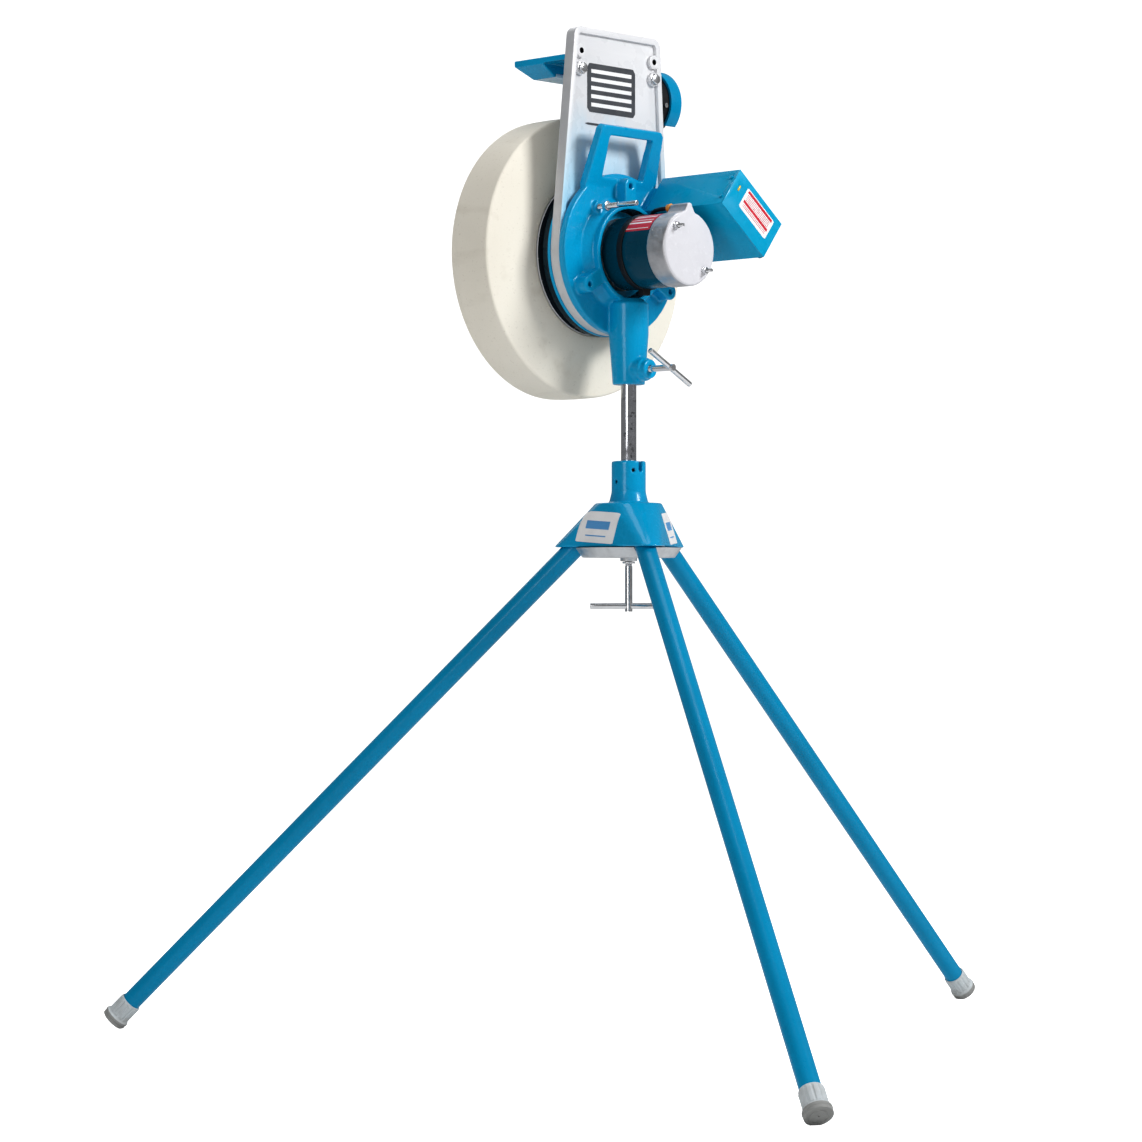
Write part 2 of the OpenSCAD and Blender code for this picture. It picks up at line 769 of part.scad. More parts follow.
module guide_bracket() {
    flange_y = 50;
    tip_y = 154;
    shoe_y0 = 96;
    shoe_y1 = 139;
    foot_z = guide_bolt_z - 16;
    color("deepskyblue") difference() {
        union() {
            translate([lip_x, plate_y1, foot_z]) cube([178, flange_y - plate_y1, 1420 - foot_z]);
            translate([lip_x, flange_y - 1, shelf_z]) cube([shoe_x1 - lip_x, tip_y - flange_y + 1, 8]);
            intersection() {
                upright(shoe_y0, tip_y) polygon([[lip_x, shelf_z + 1], [lip_x, shelf_z - 1], [ramp_x, pad_z],
                    [ramp_x + 2, pad_z], [ramp_x + 2, pad_z + pad_t], [shoe_x1, pad_z + pad_t],
                    [shoe_x1, shelf_z + 1]]);
                translate([lip_x - eps, 0, 0]) rotate([90, 0, 90]) linear_extrude(120)
                    polygon([[shoe_y0, pad_z - 1], [shoe_y1, pad_z - 1], [tip_y, shelf_z], [tip_y, shelf_z + 2],
                             [shoe_y0, shelf_z + 2]]);
            }
            translate([66, flange_y - 1, foot_z - 20]) cube([34, 34, 40]);
        }
        translate([60, wheel_y, hood_z]) rotate([0, 90, 0]) cylinder(r = tube_r, h = 50);
        guide_holes(guide_hole_d / 2, guide_bolt_z, 0, 70);
        guide_holes(guide_hole_d / 2, spare_hole_z, 0, 70);
    }
}

module pressure_pad() {
    pad_x = ramp_x + 2.05;
    color("lightsteelblue") translate([pad_x, 96, pad_z]) cube([shoe_x1 - pad_x, 43, pad_t - 0.05]);
}

module exit_tube() {
    color("#202024") difference() {
        exit_arc(tube_r - tube_t, tube_r - 0.1, tube_x0, 176, 38);
        tube_screw_places() y_cyl(1.6, -60, 60);
    }
}

module exit_band() {
    color("deepskyblue") exit_arc(tube_r + 0.1, tube_r + 4.5, 168, 191, 47);
}

// The two screws through the exit tube's sides, 8 degrees below its middle
module tube_screw_places() {
    translate([160, wheel_y, hood_z - 6]) children();
}

module tube_screws() {
    reach = sqrt(pow(tube_r, 2) - 36);
    color("silver") tube_screw_places() for (s = [-1, 1]) {
        y_cyl(1.5, s > 0 ? reach - 8 : -reach, s > 0 ? reach : 8 - reach);
        y_cyl(3.5, s > 0 ? reach + 0.3 : -reach - 2.6, s > 0 ? reach + 2.6 : -reach - 0.3);
    }
}

module guide_bolts() {
    color("silver") for (s = [-1, 1]) translate([guide_cx + s * guide_bolt_gap / 2, 0, guide_bolt_z]) {
        y_cyl(4, plate_y0 - 6, 60);
        difference() {
            y_hex(13, plate_y0 - 5.5, plate_y0 - 0.05);
            y_cyl(3.9, plate_y0 - 6, plate_y0);
        }
    }
}

// ---------- Control box ----------

module control_box() {
    color("deepskyblue") box_frame() difference() {
        translate([-box_w / 2, box_y0 + cover_t, -box_t / 2]) cube([box_w, box_y1 - box_y0 - cover_t, box_t]);
        translate([-box_w / 2 + box_wall, box_y0 - eps, -box_t / 2 + box_wall])
            cube([box_w - 2 * box_wall, box_y1 - box_y0 - box_wall + eps, box_t - 2 * box_wall]);
        translate([knob_x, knob_y, 0]) cylinder(r = 3.2, h = 50);
        translate([rocker_x - 6.5, knob_y - 10, 20]) cube([13, 20, 20]);
        for (x = box_screw_x) translate([x, 0, 0]) y_cyl(2.6, box_y1 - 5, box_y1 + eps);
        cover_screw_places() translate([0, 0, -5]) cylinder(r = 1.6, h = 6);
        translate([lead_hole[0], lead_hole[1], -40]) cylinder(r = lead_d / 2 + 0.6, h = 20);
        translate([0, inlet_y, inlet_z]) rotate([0, 90, 0]) cylinder(r = 7, h = 80);
        translate([0, fuse_y, inlet_z]) rotate([0, 90, 0]) cylinder(r = 6, h = 80);
    }
}

// Where the cover's four screws go in, two through each short side; z points out of the box
module cover_screw_places() {
    for (s = [-1, 1], z = [-1, 1]) translate([s * box_w / 2, cover_screw_y, z * cover_screw_z])
        rotate([0, s * 90, 0]) children();
}

module lamp_slot(w, h, y0, y1) {
    translate([lamp_x - w / 2, y0, lamp_z - h / 2]) cube([w, y1 - y0, h]);
}

module box_cover() {
    tab_x = box_w / 2 - box_wall - tab_t - 0.05;
    color("deepskyblue") box_frame() difference() {
        union() {
            translate([-box_w / 2, box_y0, -box_t / 2]) cube([box_w, cover_t - 0.05, box_t]);
            for (s = [-1, 1])
                translate([s * (tab_x + tab_t / 2) - tab_t / 2, box_y0 + cover_t - 0.1, -tab_w / 2])
                cube([tab_t, tab_l, tab_w]);
        }
        cover_screw_places() translate([0, 0, -12]) cylinder(r = 1.55, h = 12);
        lamp_slot(lamp_w + 0.1, lamp_h + 0.1, box_y0 - eps, box_y0 + 5);
    }
}

// Four screws hold the cover, and two hold the box on the head
module box_screws() {
    color("silver") box_frame() {
        cover_screw_places() {
            translate([0, 0, -8]) cylinder(r = 1.5, h = 8.1);
            translate([0, 0, 0.05]) cylinder(r = 3, h = 1.6);
        }
        for (x = box_screw_x) translate([x, 0, 0]) {
            y_cyl(2.5, box_y1 - box_wall, box_y1 + 12);
            y_cyl(4.5, box_y1 - box_wall - 3.4, box_y1 - box_wall - 0.05);
        }
    }
}

module speed_board() {
    color("seagreen") box_frame() {
        translate([-40, -85, -24]) cube([86, 70, 1.6]);
        translate([-20, -70, -22.5]) cube([24, 40, 26]);
    }
    color("seagreen") box_frame() for (x = [20, 36]) translate([x, -45, -22.5]) cylinder(r = 6, h = 24);
}

module speed_pot() {
    color("gray") box_frame() translate([knob_x, knob_y, box_t / 2 - box_wall]) {
        translate([0, 0, -14]) cylinder(r = 11, h = 13.9);
        translate([0, 0, -1]) cylinder(r = 3.1, h = 9);
    }
}

module speed_knob() {
    color("black") box_frame() translate([knob_x, knob_y, box_t / 2]) difference() {
        union() {
            translate([0, 0, 0.5]) cylinder(r1 = 17, r2 = 15, h = 5);
            translate([0, 0, 5.5]) cylinder(r = 12.5, h = 11);
        }
        cylinder(r = 3.1 + fit, h = 7);
        translate([-1, 4, 14.5]) cube([2, 10, 5]);
    }
}

module switch_body() {
    color("black") box_frame() translate([rocker_x, knob_y, box_t / 2]) difference() {
        union() {
            translate([-6.3, -9.8, -16]) cube([12.6, 19.6, 16.05]);
            translate([-8.5, -12.5, 0.05]) cube([17, 25, 2]);
        }
        translate([-5, -8, -9]) cube([10, 16, 14]);
    }
}

module switch_rocker() {
    color("firebrick") box_frame() translate([rocker_x, knob_y, box_t / 2 - 3]) rotate([9, 0, 0])
        intersection() {
            translate([-4.6, -7, -1]) cube([9.2, 14, 9]);
            translate([-4.6, 0, 0]) rotate([0, 90, 0]) cylinder(r = 7.2, h = 9.2);
        }
}

module pilot_light() {
    color("gold") box_frame() lamp_slot(lamp_w, lamp_h, box_y0 - 1, box_y0 + 8);
}

module fuse_holder() {
    color("black") box_frame() translate([box_w / 2, fuse_y, inlet_z]) rotate([0, 90, 0]) {
        translate([0, 0, 0.05]) cylinder(r = 8, h = 6);
        translate([0, 0, -25]) cylinder(r = 5.95, h = 25.1);
    }
}

module power_inlet() {
    color("black") box_frame() translate([box_w / 2, inlet_y, inlet_z]) rotate([0, 90, 0]) difference() {
        union() {
            translate([0, 0, 0.05]) cylinder(r = 10, h = 5, $fn = 6);
            translate([0, 0, 5]) cylinder(r1 = 8.5, r2 = 6.5, h = 10);
            translate([0, 0, -12]) cylinder(r = 6.95, h = 12.1);
        }
        translate([0, 0, -13]) cylinder(r = 4, h = 40);
    }
}

// ---------- Nodes ----------

hub_casting();
hub_set_screws();
post();
clamp_plate();
clamp_screw();
clamp_tee();
for (k = [0 : 2]) leg_tube(leg_az[k]);
for (k = [0 : 2]) foot_tip(leg_az[k]);
head_casting();
rear_disc();
rear_disc_screws();
pan_clamp_pad();
pan_clamp_screw();
pan_clamp_tee();
elevation_lock_pad();
elevation_lock_screw();
elevation_lock_nut();
motor_can();
motor_drive_bell();
motor_end_cap();
motor_magnets();
motor_brushes();
motor_bearings();
motor_through_bolts();
motor_mount_bolts();
motor_strap();
lead_grommet();
motor_lead();
motor_shaft();
armature();
commutator();
wheel_hub();
rim_near_half();
rim_far_half();
rim_bolts();
shaft_nut();
valve_stem();
tyre();
face_plate();
guide_bracket();
pressure_pad();
exit_tube();
exit_band();
guide_bolts();
tube_screws();
control_box();
box_cover();
box_screws();
speed_board();
speed_pot();
speed_knob();
switch_body();
switch_rocker();
pilot_light();
fuse_holder();
power_inlet();
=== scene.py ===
import json
import math

import bmesh
import bpy
from mathutils import Matrix, Vector, noise
from mathutils.bvhtree import BVHTree


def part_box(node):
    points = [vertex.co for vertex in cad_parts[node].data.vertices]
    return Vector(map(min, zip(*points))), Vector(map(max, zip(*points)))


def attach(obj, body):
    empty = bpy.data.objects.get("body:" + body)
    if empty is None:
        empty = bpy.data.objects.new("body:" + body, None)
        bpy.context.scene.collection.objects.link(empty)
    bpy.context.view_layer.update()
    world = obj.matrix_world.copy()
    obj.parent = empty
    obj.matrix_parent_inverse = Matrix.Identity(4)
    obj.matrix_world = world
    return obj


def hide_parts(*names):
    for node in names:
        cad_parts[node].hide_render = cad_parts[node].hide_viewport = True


# Looks of the baseball pitching machine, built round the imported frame.
# Metres, +Z up. The ball leaves along +X, the motor is on the -Y side and the wheel on the +Y side.
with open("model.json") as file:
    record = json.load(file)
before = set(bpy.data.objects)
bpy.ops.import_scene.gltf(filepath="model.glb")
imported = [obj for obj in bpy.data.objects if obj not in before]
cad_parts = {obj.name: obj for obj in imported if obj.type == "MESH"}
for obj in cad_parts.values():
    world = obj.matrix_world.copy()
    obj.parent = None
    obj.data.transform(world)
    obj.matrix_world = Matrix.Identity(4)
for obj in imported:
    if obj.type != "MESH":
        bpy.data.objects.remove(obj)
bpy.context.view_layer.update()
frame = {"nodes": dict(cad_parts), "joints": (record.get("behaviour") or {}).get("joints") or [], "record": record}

MM = 0.001
JOINTS = {j["name"]: j for j in frame["joints"]}
SLOTS = {s["node"]: s["material_slot"] for s in frame["record"]["subparts"]}
BODY_OF = {n: b for b, ns in frame["record"]["behaviour"]["bodies"].items() for n in ns}
AXIS = Vector(JOINTS["elevation"]["pos_m"])
WHEEL = Vector(JOINTS["wheel_spin"]["pos_m"])
LEGS = {"front": 0, "wheel_side": 120, "motor_side": 240}
UP = (0, 0, 1)
TO_WHEEL = (0, 1, 0)
TO_MOTOR = (0, -1, 0)
# Thread pitches: sixteen to the inch on the clamp screws, M8 on the lock stud and the larger bolts
COARSE_PITCH = 25.4 / 16 * MM
M8_PITCH = 1.25 * MM


# ---------- Camera, floor and light ----------

def make_camera():
    data = bpy.data.cameras.new("camera")
    data.sensor_width = 36
    data.lens = 107.2
    camera = bpy.data.objects.new("camera", data)
    camera.location = (-3.553, -3.313, 0.637)
    camera.rotation_euler = (math.radians(90.46), 0, math.radians(-46.03))
    bpy.context.scene.collection.objects.link(camera)
    bpy.context.scene.camera = camera


def area_light(name, place, target, size, power):
    data = bpy.data.lights.new(name, "AREA")
    data.shape = "RECTANGLE"
    data.size, data.size_y = size
    data.energy = power
    light = bpy.data.objects.new(name, data)
    light.location = place
    light.rotation_euler = (Vector(target) - Vector(place)).to_track_quat("-Z", "Y").to_euler()
    bpy.context.scene.collection.objects.link(light)


def make_light():
    """Four soft lights, and a world that looks white to the camera and adds only a little light."""
    middle = (0, 0, 0.9)
    world_light = 0.20
    area_light("key", (1.2, -3.1, 2.8), (0, 0, 1.1), (1.1, 1.1), 108)
    area_light("side", (-4.6, -1.2, 1.8), middle, (1.6, 2.6), 54)
    area_light("top", (0, 0.3, 4.4), middle, (2.0, 2.0), 40)
    area_light("back", (1.4, 3.2, 3.6), middle, (2.8, 2.8), 36)
    world = bpy.data.worlds.new("studio")
    world.use_nodes = True
    nodes, links = world.node_tree.nodes, world.node_tree.links
    background = nodes["Background"]
    background.inputs["Color"].default_value = (1, 1, 1, 1)
    seen = nodes.new("ShaderNodeLightPath")
    strength = nodes.new("ShaderNodeMapRange")
    strength.inputs["To Min"].default_value = world_light
    strength.inputs["To Max"].default_value = 1.0
    links.new(seen.outputs["Is Camera Ray"], strength.inputs["Value"])
    links.new(strength.outputs["Result"], background.inputs["Strength"])
    bpy.context.scene.world = world
    bpy.context.scene.view_settings.view_transform = "Standard"
    bpy.context.scene.view_settings.look = "Medium High Contrast"


# ---------- Materials ----------

# Where a colour mix node has its factor, its two colours and its result
MIX_FACTOR, MIX_BEFORE, MIX_ADDED, MIX_RESULT = 0, 6, 7, 2


class Look:
    """A node material: a principled shader, and short calls that add procedural detail to it."""

    def __init__(self, name, colour, roughness, metallic=0.0, **sockets):
        self.material = bpy.data.materials.new(name)
        self.material.use_nodes = True
        self.nodes = self.material.node_tree.nodes
        self.links = self.material.node_tree.links
        self.shader = self.nodes["Principled BSDF"]
        self.shader.inputs["Base Color"].default_value = (*colour, 1)
        self.shader.inputs["Roughness"].default_value = roughness
        self.shader.inputs["Metallic"].default_value = metallic
        for socket, value in sockets.items():
            self.shader.inputs[socket.replace("_", " ")].default_value = value
        self.colour = colour
        self.bumps = None
        self.place = self.nodes.new("ShaderNodeTexCoord").outputs["Object"]

    def add(self, kind, **inputs):
        """A new node with these inputs set, or linked where a socket is given."""
        node = self.nodes.new(kind)
        for key, value in inputs.items():
            socket = node.inputs[key.replace("_", " ")]
            if isinstance(value, bpy.types.NodeSocket):
                self.links.new(value, socket)
            else:
                socket.default_value = value
        return node

    def noise(self, scale, detail=3.0, stretch=(1, 1, 1)):
        """Noise with scale features a metre, drawn out along an axis by a small stretch there."""
        mapping = self.add("ShaderNodeMapping", Vector=self.place, Scale=stretch)
        grain = self.add("ShaderNodeTexNoise", Vector=mapping.outputs[0], Scale=scale, Detail=detail)
        return grain.outputs["Fac"]

    def range(self, value, low, high, out_low=0.0, out_high=1.0):
        """Maps a value from low..high to out_low..out_high, and holds it at the ends."""
        node = self.add("ShaderNodeMapRange", Value=value)
        for key, number in (("From Min", low), ("From Max", high), ("To Min", out_low), ("To Max", out_high)):
            node.inputs[key].default_value = number
        return node.outputs["Result"]

    def base(self):
        """What now drives the base colour, as a socket or a plain colour."""
        links = self.shader.inputs["Base Color"].links
        return links[0].from_socket if links else (*self.colour, 1)

    def tint(self, fac, colour, strength):
        """Mixes a colour into the base colour where fac is high."""
        mix = self.nodes.new("ShaderNodeMix")
        mix.data_type = "RGBA"
        scaled = self.range(fac, 0, 1, 0, strength)
        self.links.new(scaled, mix.inputs[MIX_FACTOR])
        before = self.base()
        if isinstance(before, tuple):
            mix.inputs[MIX_BEFORE].default_value = before
        else:
            self.links.new(before, mix.inputs[MIX_BEFORE])
        mix.inputs[MIX_ADDED].default_value = (*colour, 1)
        self.links.new(mix.outputs[MIX_RESULT], self.shader.inputs["Base Color"])

    def rough(self, fac, low, high):
        """Lets the roughness wander between low and high with fac."""
        self.links.new(self.range(fac, 0.3, 0.7, low, high), self.shader.inputs["Roughness"])

    def bump(self, height, depth, strength):
        """A relief of the given depth in metres, on top of the reliefs before it."""
        node = self.add("ShaderNodeBump", Height=height, Strength=strength, Distance=depth)
        if self.bumps:
            self.links.new(self.bumps, node.inputs["Normal"])
        self.bumps = node.outputs[0]
        self.links.new(self.bumps, self.shader.inputs["Normal"])

    def axis(self, letter):
        """One coordinate of the object's own space, in metres."""
        split = self.add("ShaderNodeSeparateXYZ", Vector=self.place)
        return split.outputs[letter]

    def worn_and_highlit_edges(self, colour, strength):
        """A lighter colour on convex edges, broken up by noise: paint worn thin, and a painted edge highlight."""
        point = self.nodes.new("ShaderNodeNewGeometry").outputs["Pointiness"]
        edge = self.range(point, 0.54, 0.60)
        patchy = self.range(self.noise(90), 0.42, 0.62)
        both = self.add("ShaderNodeMath")
        both.operation = "MULTIPLY"
        self.links.new(edge, both.inputs[0])
        self.links.new(patchy, both.inputs[1])
        self.tint(both.outputs[0], colour, strength)


def enamel(name, colour, cast=0.0, wear_and_highlight=None, gloss=0.12):
    """Gloss paint: orange peel, slight tone changes, dust in it and, on castings, a sand-cast surface."""
    look = Look(name, colour, 0.3, Specular_IOR_Level=0.12, Coat_Weight=gloss, Coat_Roughness=0.07)
    look.tint(look.range(look.noise(7), 0.35, 0.7), tuple(c * 0.78 for c in colour), 0.5)
    look.tint(look.range(look.noise(150, 3), 0.60, 0.74), tuple(c * 1.2 + 0.002 for c in colour), 0.3)
    look.rough(look.noise(35, 4), 0.22, 0.36)
    if cast:
        look.bump(look.noise(110, 4), cast, 0.45)
        look.bump(look.noise(300, 3), cast * 0.7, 0.6)
    look.bump(look.noise(350, 2), 0.00006, 0.2)
    # Lighter convex edges: worn paint, and a painted edge highlight
    if wear_and_highlight:
        look.worn_and_highlit_edges(wear_and_highlight, 0.3)
    return look.material


def metal(name, colour, roughness, stain=0.3):
    """Bare or plated metal with a fine grain and a patchy, slightly stained finish."""
    look = Look(name, colour, roughness, 1.0)
    look.tint(look.range(look.noise(60, 5), 0.45, 0.75), tuple(c * 0.45 for c in colour), stain)
    look.rough(look.noise(140, 4), roughness * 0.75, roughness * 1.4)
    look.bump(look.noise(500, 3), 0.00004, 0.4)
    return look.material


def plastic(name, colour, roughness, grain=0.00012, **sockets):
    """Moulded plastic, rubber or print: a fine grain, slight tone changes and uneven gloss."""
    look = Look(name, colour, roughness, **sockets)
    look.tint(look.range(look.noise(45, 3), 0.4, 0.7), tuple(c * 0.8 for c in colour), 0.35)
    look.rough(look.noise(80), roughness * 0.8, min(1.0, roughness * 1.25))
    look.bump(look.noise(1100, 2), grain, 0.5)
    return look.material


def tyre_look():
    """Off-white rubber: matt, slightly mottled, with grey-brown scuffs and rubbed-in dust."""
    look = Look("tyre_rubber", (0.77, 0.735, 0.65), 0.7, Specular_IOR_Level=0.3)
    look.tint(look.range(look.noise(4, 4), 0.42, 0.72), (0.66, 0.62, 0.53), 0.5)
    look.tint(look.range(look.noise(30, 5, (1, 0.3, 1)), 0.58, 0.76), (0.46, 0.41, 0.33), 0.28)
    look.tint(look.range(look.noise(260, 3), 0.62, 0.74), (0.38, 0.34, 0.28), 0.25)
    look.rough(look.noise(24), 0.6, 0.8)
    look.bump(look.noise(90, 5), 0.0006, 0.35)
    look.bump(look.noise(850, 2), 0.00015, 0.5)
    return look.material


def disc_look():
    """Gloss blue along the rear disc's front edge, and painted shade, near black, behind it."""
    blue_to_y = 48.2 * MM
    shade_from_y = 48.8 * MM
    look = Look("disc_paint_and_shade", CAST, 0.3, Specular_IOR_Level=0.12, Coat_Weight=0.2, Coat_Roughness=0.07)
    look.tint(look.range(look.noise(7), 0.35, 0.7), tuple(c * 0.78 for c in CAST), 0.5)
    # Painted shade: behind its blue front edge the disc turns near black
    look.tint(look.range(look.axis("Y"), blue_to_y, shade_from_y), (0.0, 0.014, 0.024), 1.0)
    look.rough(look.noise(35, 4), 0.22, 0.36)
    look.bump(look.noise(350, 2), 0.0001, 0.3)
    return look.material


def plate_look():
    """White enamel whose face fades to light blue lower down, with soft streaks in the fade."""
    look = Look("plate_white", (0.66, 0.665, 0.685), 0.3, Coat_Weight=0.3, Coat_Roughness=0.08)
    raised = look.add("ShaderNodeMath")
    raised.operation = "MULTIPLY_ADD"
    look.links.new(look.noise(16, 4, (1.6, 1, 0.25)), raised.inputs[0])
    raised.inputs[1].default_value = 0.16
    look.links.new(look.axis("Z"), raised.inputs[2])
    fade_top = 1.40
    fade_bottom = 1.27
    look.tint(look.range(raised.outputs[0], fade_top, fade_bottom), (0.30, 0.62, 0.80), 0.8)
    deep = look.range(raised.outputs[0], fade_bottom + 0.03, fade_bottom - 0.07)
    look.tint(deep, (0.05, 0.34, 0.54), 0.6)
    look.rough(look.noise(30), 0.22, 0.36)
    look.bump(look.noise(700, 2), 0.00012, 0.3)
    return look.material


def chrome_look():
    """The plated post: bright, with uneven gloss and dull spots."""
    look = Look("chrome_post", (0.60, 0.61, 0.65), 0.12, 1.0)
    look.tint(look.range(look.noise(140, 5), 0.60, 0.68), (0.10, 0.10, 0.11), 0.7)
    look.rough(look.noise(120, 4), 0.09, 0.22)
    look.bump(look.noise(200, 3), 0.00004, 0.3)
    return look.material


def foot_look():
    """Grey rubber, mottled, and darker towards the bottom, where it meets the ground."""
    dark_band_top = 18 * MM
    look = Look("foot_rubber", (0.50, 0.54, 0.56), 0.7)
    look.tint(look.range(look.noise(60, 4), 0.45, 0.7), (0.34, 0.35, 0.35), 0.5)
    # Darker brown-grey towards the bottom of the foot
    look.tint(look.range(look.axis("Z"), dark_band_top, 0.0), (0.26, 0.24, 0.21), 0.6)
    look.rough(look.noise(50), 0.7, 0.9)
    look.bump(look.noise(500, 3), 0.0003, 0.5)
    return look.material


# The paint on the tubes, the castings' paint made darker as painted shade, and the paint on the castings
BLUE = (0.0, 0.245, 0.45)
CAST = (0.0, 0.32, 0.58)
# The look of each material slot
LOOKS = {
    "blue_paint": enamel("blue_paint", BLUE, wear_and_highlight=(0.10, 0.42, 0.68)),
    "galvanised": metal("galvanised", (0.60, 0.62, 0.64), 0.42, stain=0.35),
    "chrome_post": chrome_look(),
    "zinc_fasteners": metal("zinc_fasteners", (0.70, 0.71, 0.73), 0.2, stain=0.15),
    "bearing_steel": metal("bearing_steel", (0.55, 0.56, 0.58), 0.3),
    "foot_rubber": foot_look(),
    "tyre_rubber": tyre_look(),
    "plate_white": plate_look(),
    "rim_steel": enamel("rim_steel", (0.55, 0.56, 0.58)),
    "motor_paint": enamel("motor_paint", (0.0, 0.055, 0.095)),
    "cap_paint": enamel("cap_paint", (0.64, 0.64, 0.675), cast=0.0003),
    "motor_casting": metal("motor_casting", (0.45, 0.46, 0.48), 0.5),
    "magnet": plastic("magnet", (0.08, 0.08, 0.085), 0.6),
    "copper": metal("copper", (0.62, 0.30, 0.16), 0.35),
    "brass": metal("brass", (0.72, 0.53, 0.23), 0.3),
    "black_rubber": plastic("black_rubber", (0.008, 0.008, 0.010), 0.5, 0.0002, Specular_IOR_Level=0.3),
    "black_plastic": plastic("black_plastic", (0.02, 0.02, 0.022), 0.38),
    "red_plastic": plastic("red_plastic", (0.52, 0.015, 0.015), 0.25),
    "amber_plastic": plastic("amber_plastic", (0.62, 0.46, 0.07), 0.2),
    "orange_plastic": plastic("orange_plastic", (0.62, 0.27, 0.05), 0.45),
    "urethane": plastic("urethane", (0.46, 0.66, 0.80), 0.3, Subsurface_Weight=0.2),
    "board_green": plastic("board_green", (0.03, 0.2, 0.09), 0.35),
}
# Finer looks, for pieces or faces that share a slot with others
CAST_BLUE = enamel("cast_blue_paint", CAST, cast=0.0009, wear_and_highlight=(0.06, 0.46, 0.72), gloss=0.35)
BOX_BLUE = enamel("box_blue_paint", (0.0, 0.315, 0.53), wear_and_highlight=(0.06, 0.46, 0.70))
PLATE_EDGE = plastic("plate_edge", (0.55, 0.56, 0.58), 0.42, 0.0002, Metallic=0.25)
# Painted shade: near-black for the walls inside the plate's bolt holes
BORE_PAINTED_SHADE = metal("bore_painted_shade", (0.03, 0.03, 0.035), 0.5)
DISC_PAINT_AND_SHADE = disc_look()
# Painted shade: near-black blue for the faces inside the motor's ring on the head casting
OPENING_PAINTED_SHADE = enamel("opening_painted_shade", (0.004, 0.022, 0.036))
FOOT_SOLE = plastic("foot_sole", (0.27, 0.275, 0.27), 0.7, 0.0004)
DARK_STEEL = metal("dark_steel", (0.05, 0.05, 0.055), 0.4)
# Painted shade: near-black for the near rim half's dish inside its bead
RIM_INSIDE_PAINTED_SHADE = enamel("rim_inside_painted_shade", (0.018, 0.026, 0.036))
LABEL_WHITE = plastic("label_white", (0.82, 0.82, 0.83), 0.35, 0.00006)
LABEL_RED = plastic("label_red", (0.55, 0.02, 0.04), 0.35, 0.00006)
LABEL_GREY = plastic("label_grey", (0.05, 0.055, 0.065), 0.35, 0.00006)
LABEL_BLUE = plastic("label_blue", (0.10, 0.32, 0.62), 0.35, 0.00006)
CAP_SIDE = metal("cap_side", (0.50, 0.50, 0.52), 0.45, stain=0.45)


# ---------- Mesh tools ----------

def mesh_of(name, bm):
    """Turns a bmesh into a mesh whose faces all look outward."""
    bmesh.ops.recalc_face_normals(bm, faces=bm.faces)
    mesh = bpy.data.meshes.new(name)
    bm.to_mesh(mesh)
    bm.free()
    return mesh


def show(name, shape, body, material, stands_for=(), sharp=35):
    """Makes a piece of a mesh or a bmesh, which rides on a body. material may be one or a list.
    Edges that turn more than sharp degrees stay crisp."""
    mesh = shape if isinstance(shape, bpy.types.Mesh) else mesh_of(name, shape)
    if "custom_normal" in mesh.attributes:
        mesh.attributes.remove(mesh.attributes["custom_normal"])
    indices = [face.material_index for face in mesh.polygons]
    mesh.materials.clear()
    for look in material if isinstance(material, list) else [material]:
        mesh.materials.append(look)
    mesh.polygons.foreach_set("material_index", indices)
    mesh.shade_smooth()
    mesh.set_sharp_from_angle(angle=math.radians(sharp))
    piece = bpy.data.objects.new(name, mesh)
    bpy.context.scene.collection.objects.link(piece)
    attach(piece, body)
    if stands_for:
        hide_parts(*stands_for)
    return piece


def stand_in(node, shape, material=None, sharp=35):
    """Shows a shape in a CAD node's place, on its body and, if no other look is given, with the look of its slot.
    """
    slot = SLOTS[node]
    return show("vis_" + node, shape, BODY_OF[node], material or LOOKS[slot], [node], sharp)


def cad_bmesh(node):
    """A CAD node's own mesh, with its doubled points joined."""
    bm = bmesh.new()
    bm.from_mesh(frame["nodes"][node].data)
    bmesh.ops.remove_doubles(bm, verts=bm.verts, dist=3e-6)
    for face in bm.faces:
        face.material_index = 0
    return bm


def modified(bm, *settings):
    """The mesh that these modifiers, each (type, {setting: value}), make of a bmesh."""
    mesh = bpy.data.meshes.new("work")
    bm.to_mesh(mesh)
    bm.free()
    work = bpy.data.objects.new("work", mesh)
    bpy.context.scene.collection.objects.link(work)
    for kind, values in settings:
        modifier = work.modifiers.new(kind, kind)
        for key, value in values.items():
            setattr(modifier, key, value)
    shaped = bpy.data.meshes.new_from_object(work.evaluated_get(bpy.context.evaluated_depsgraph_get()))
    bpy.data.objects.remove(work)
    bpy.data.meshes.remove(mesh)
    return shaped


def machined(node, bevel_mm, material=None):
    """A CAD node's own shape with its edges rounded."""
    bm = cad_bmesh(node)
    bmesh.ops.dissolve_limit(bm, angle_limit=math.radians(0.5), verts=bm.verts, edges=bm.edges)
    mesh = modified(bm, ("BEVEL", {"width": bevel_mm * MM, "segments": 3, "limit_method": "ANGLE",
                                   "angle_limit": math.radians(32), "miter_outer": "MITER_ARC"}))
    return stand_in(node, mesh, material, 30)


def casting(node, voxel_mm, rounds, material):
    """A CAD node's shape remeshed and relaxed, so that its corners get the fillets of a casting."""
    mesh = modified(cad_bmesh(node), ("REMESH", {"mode": "VOXEL", "voxel_size": voxel_mm * MM}),
                    ("SMOOTH", {"factor": 0.5, "iterations": rounds}))
    return stand_in(node, mesh, material, 60)


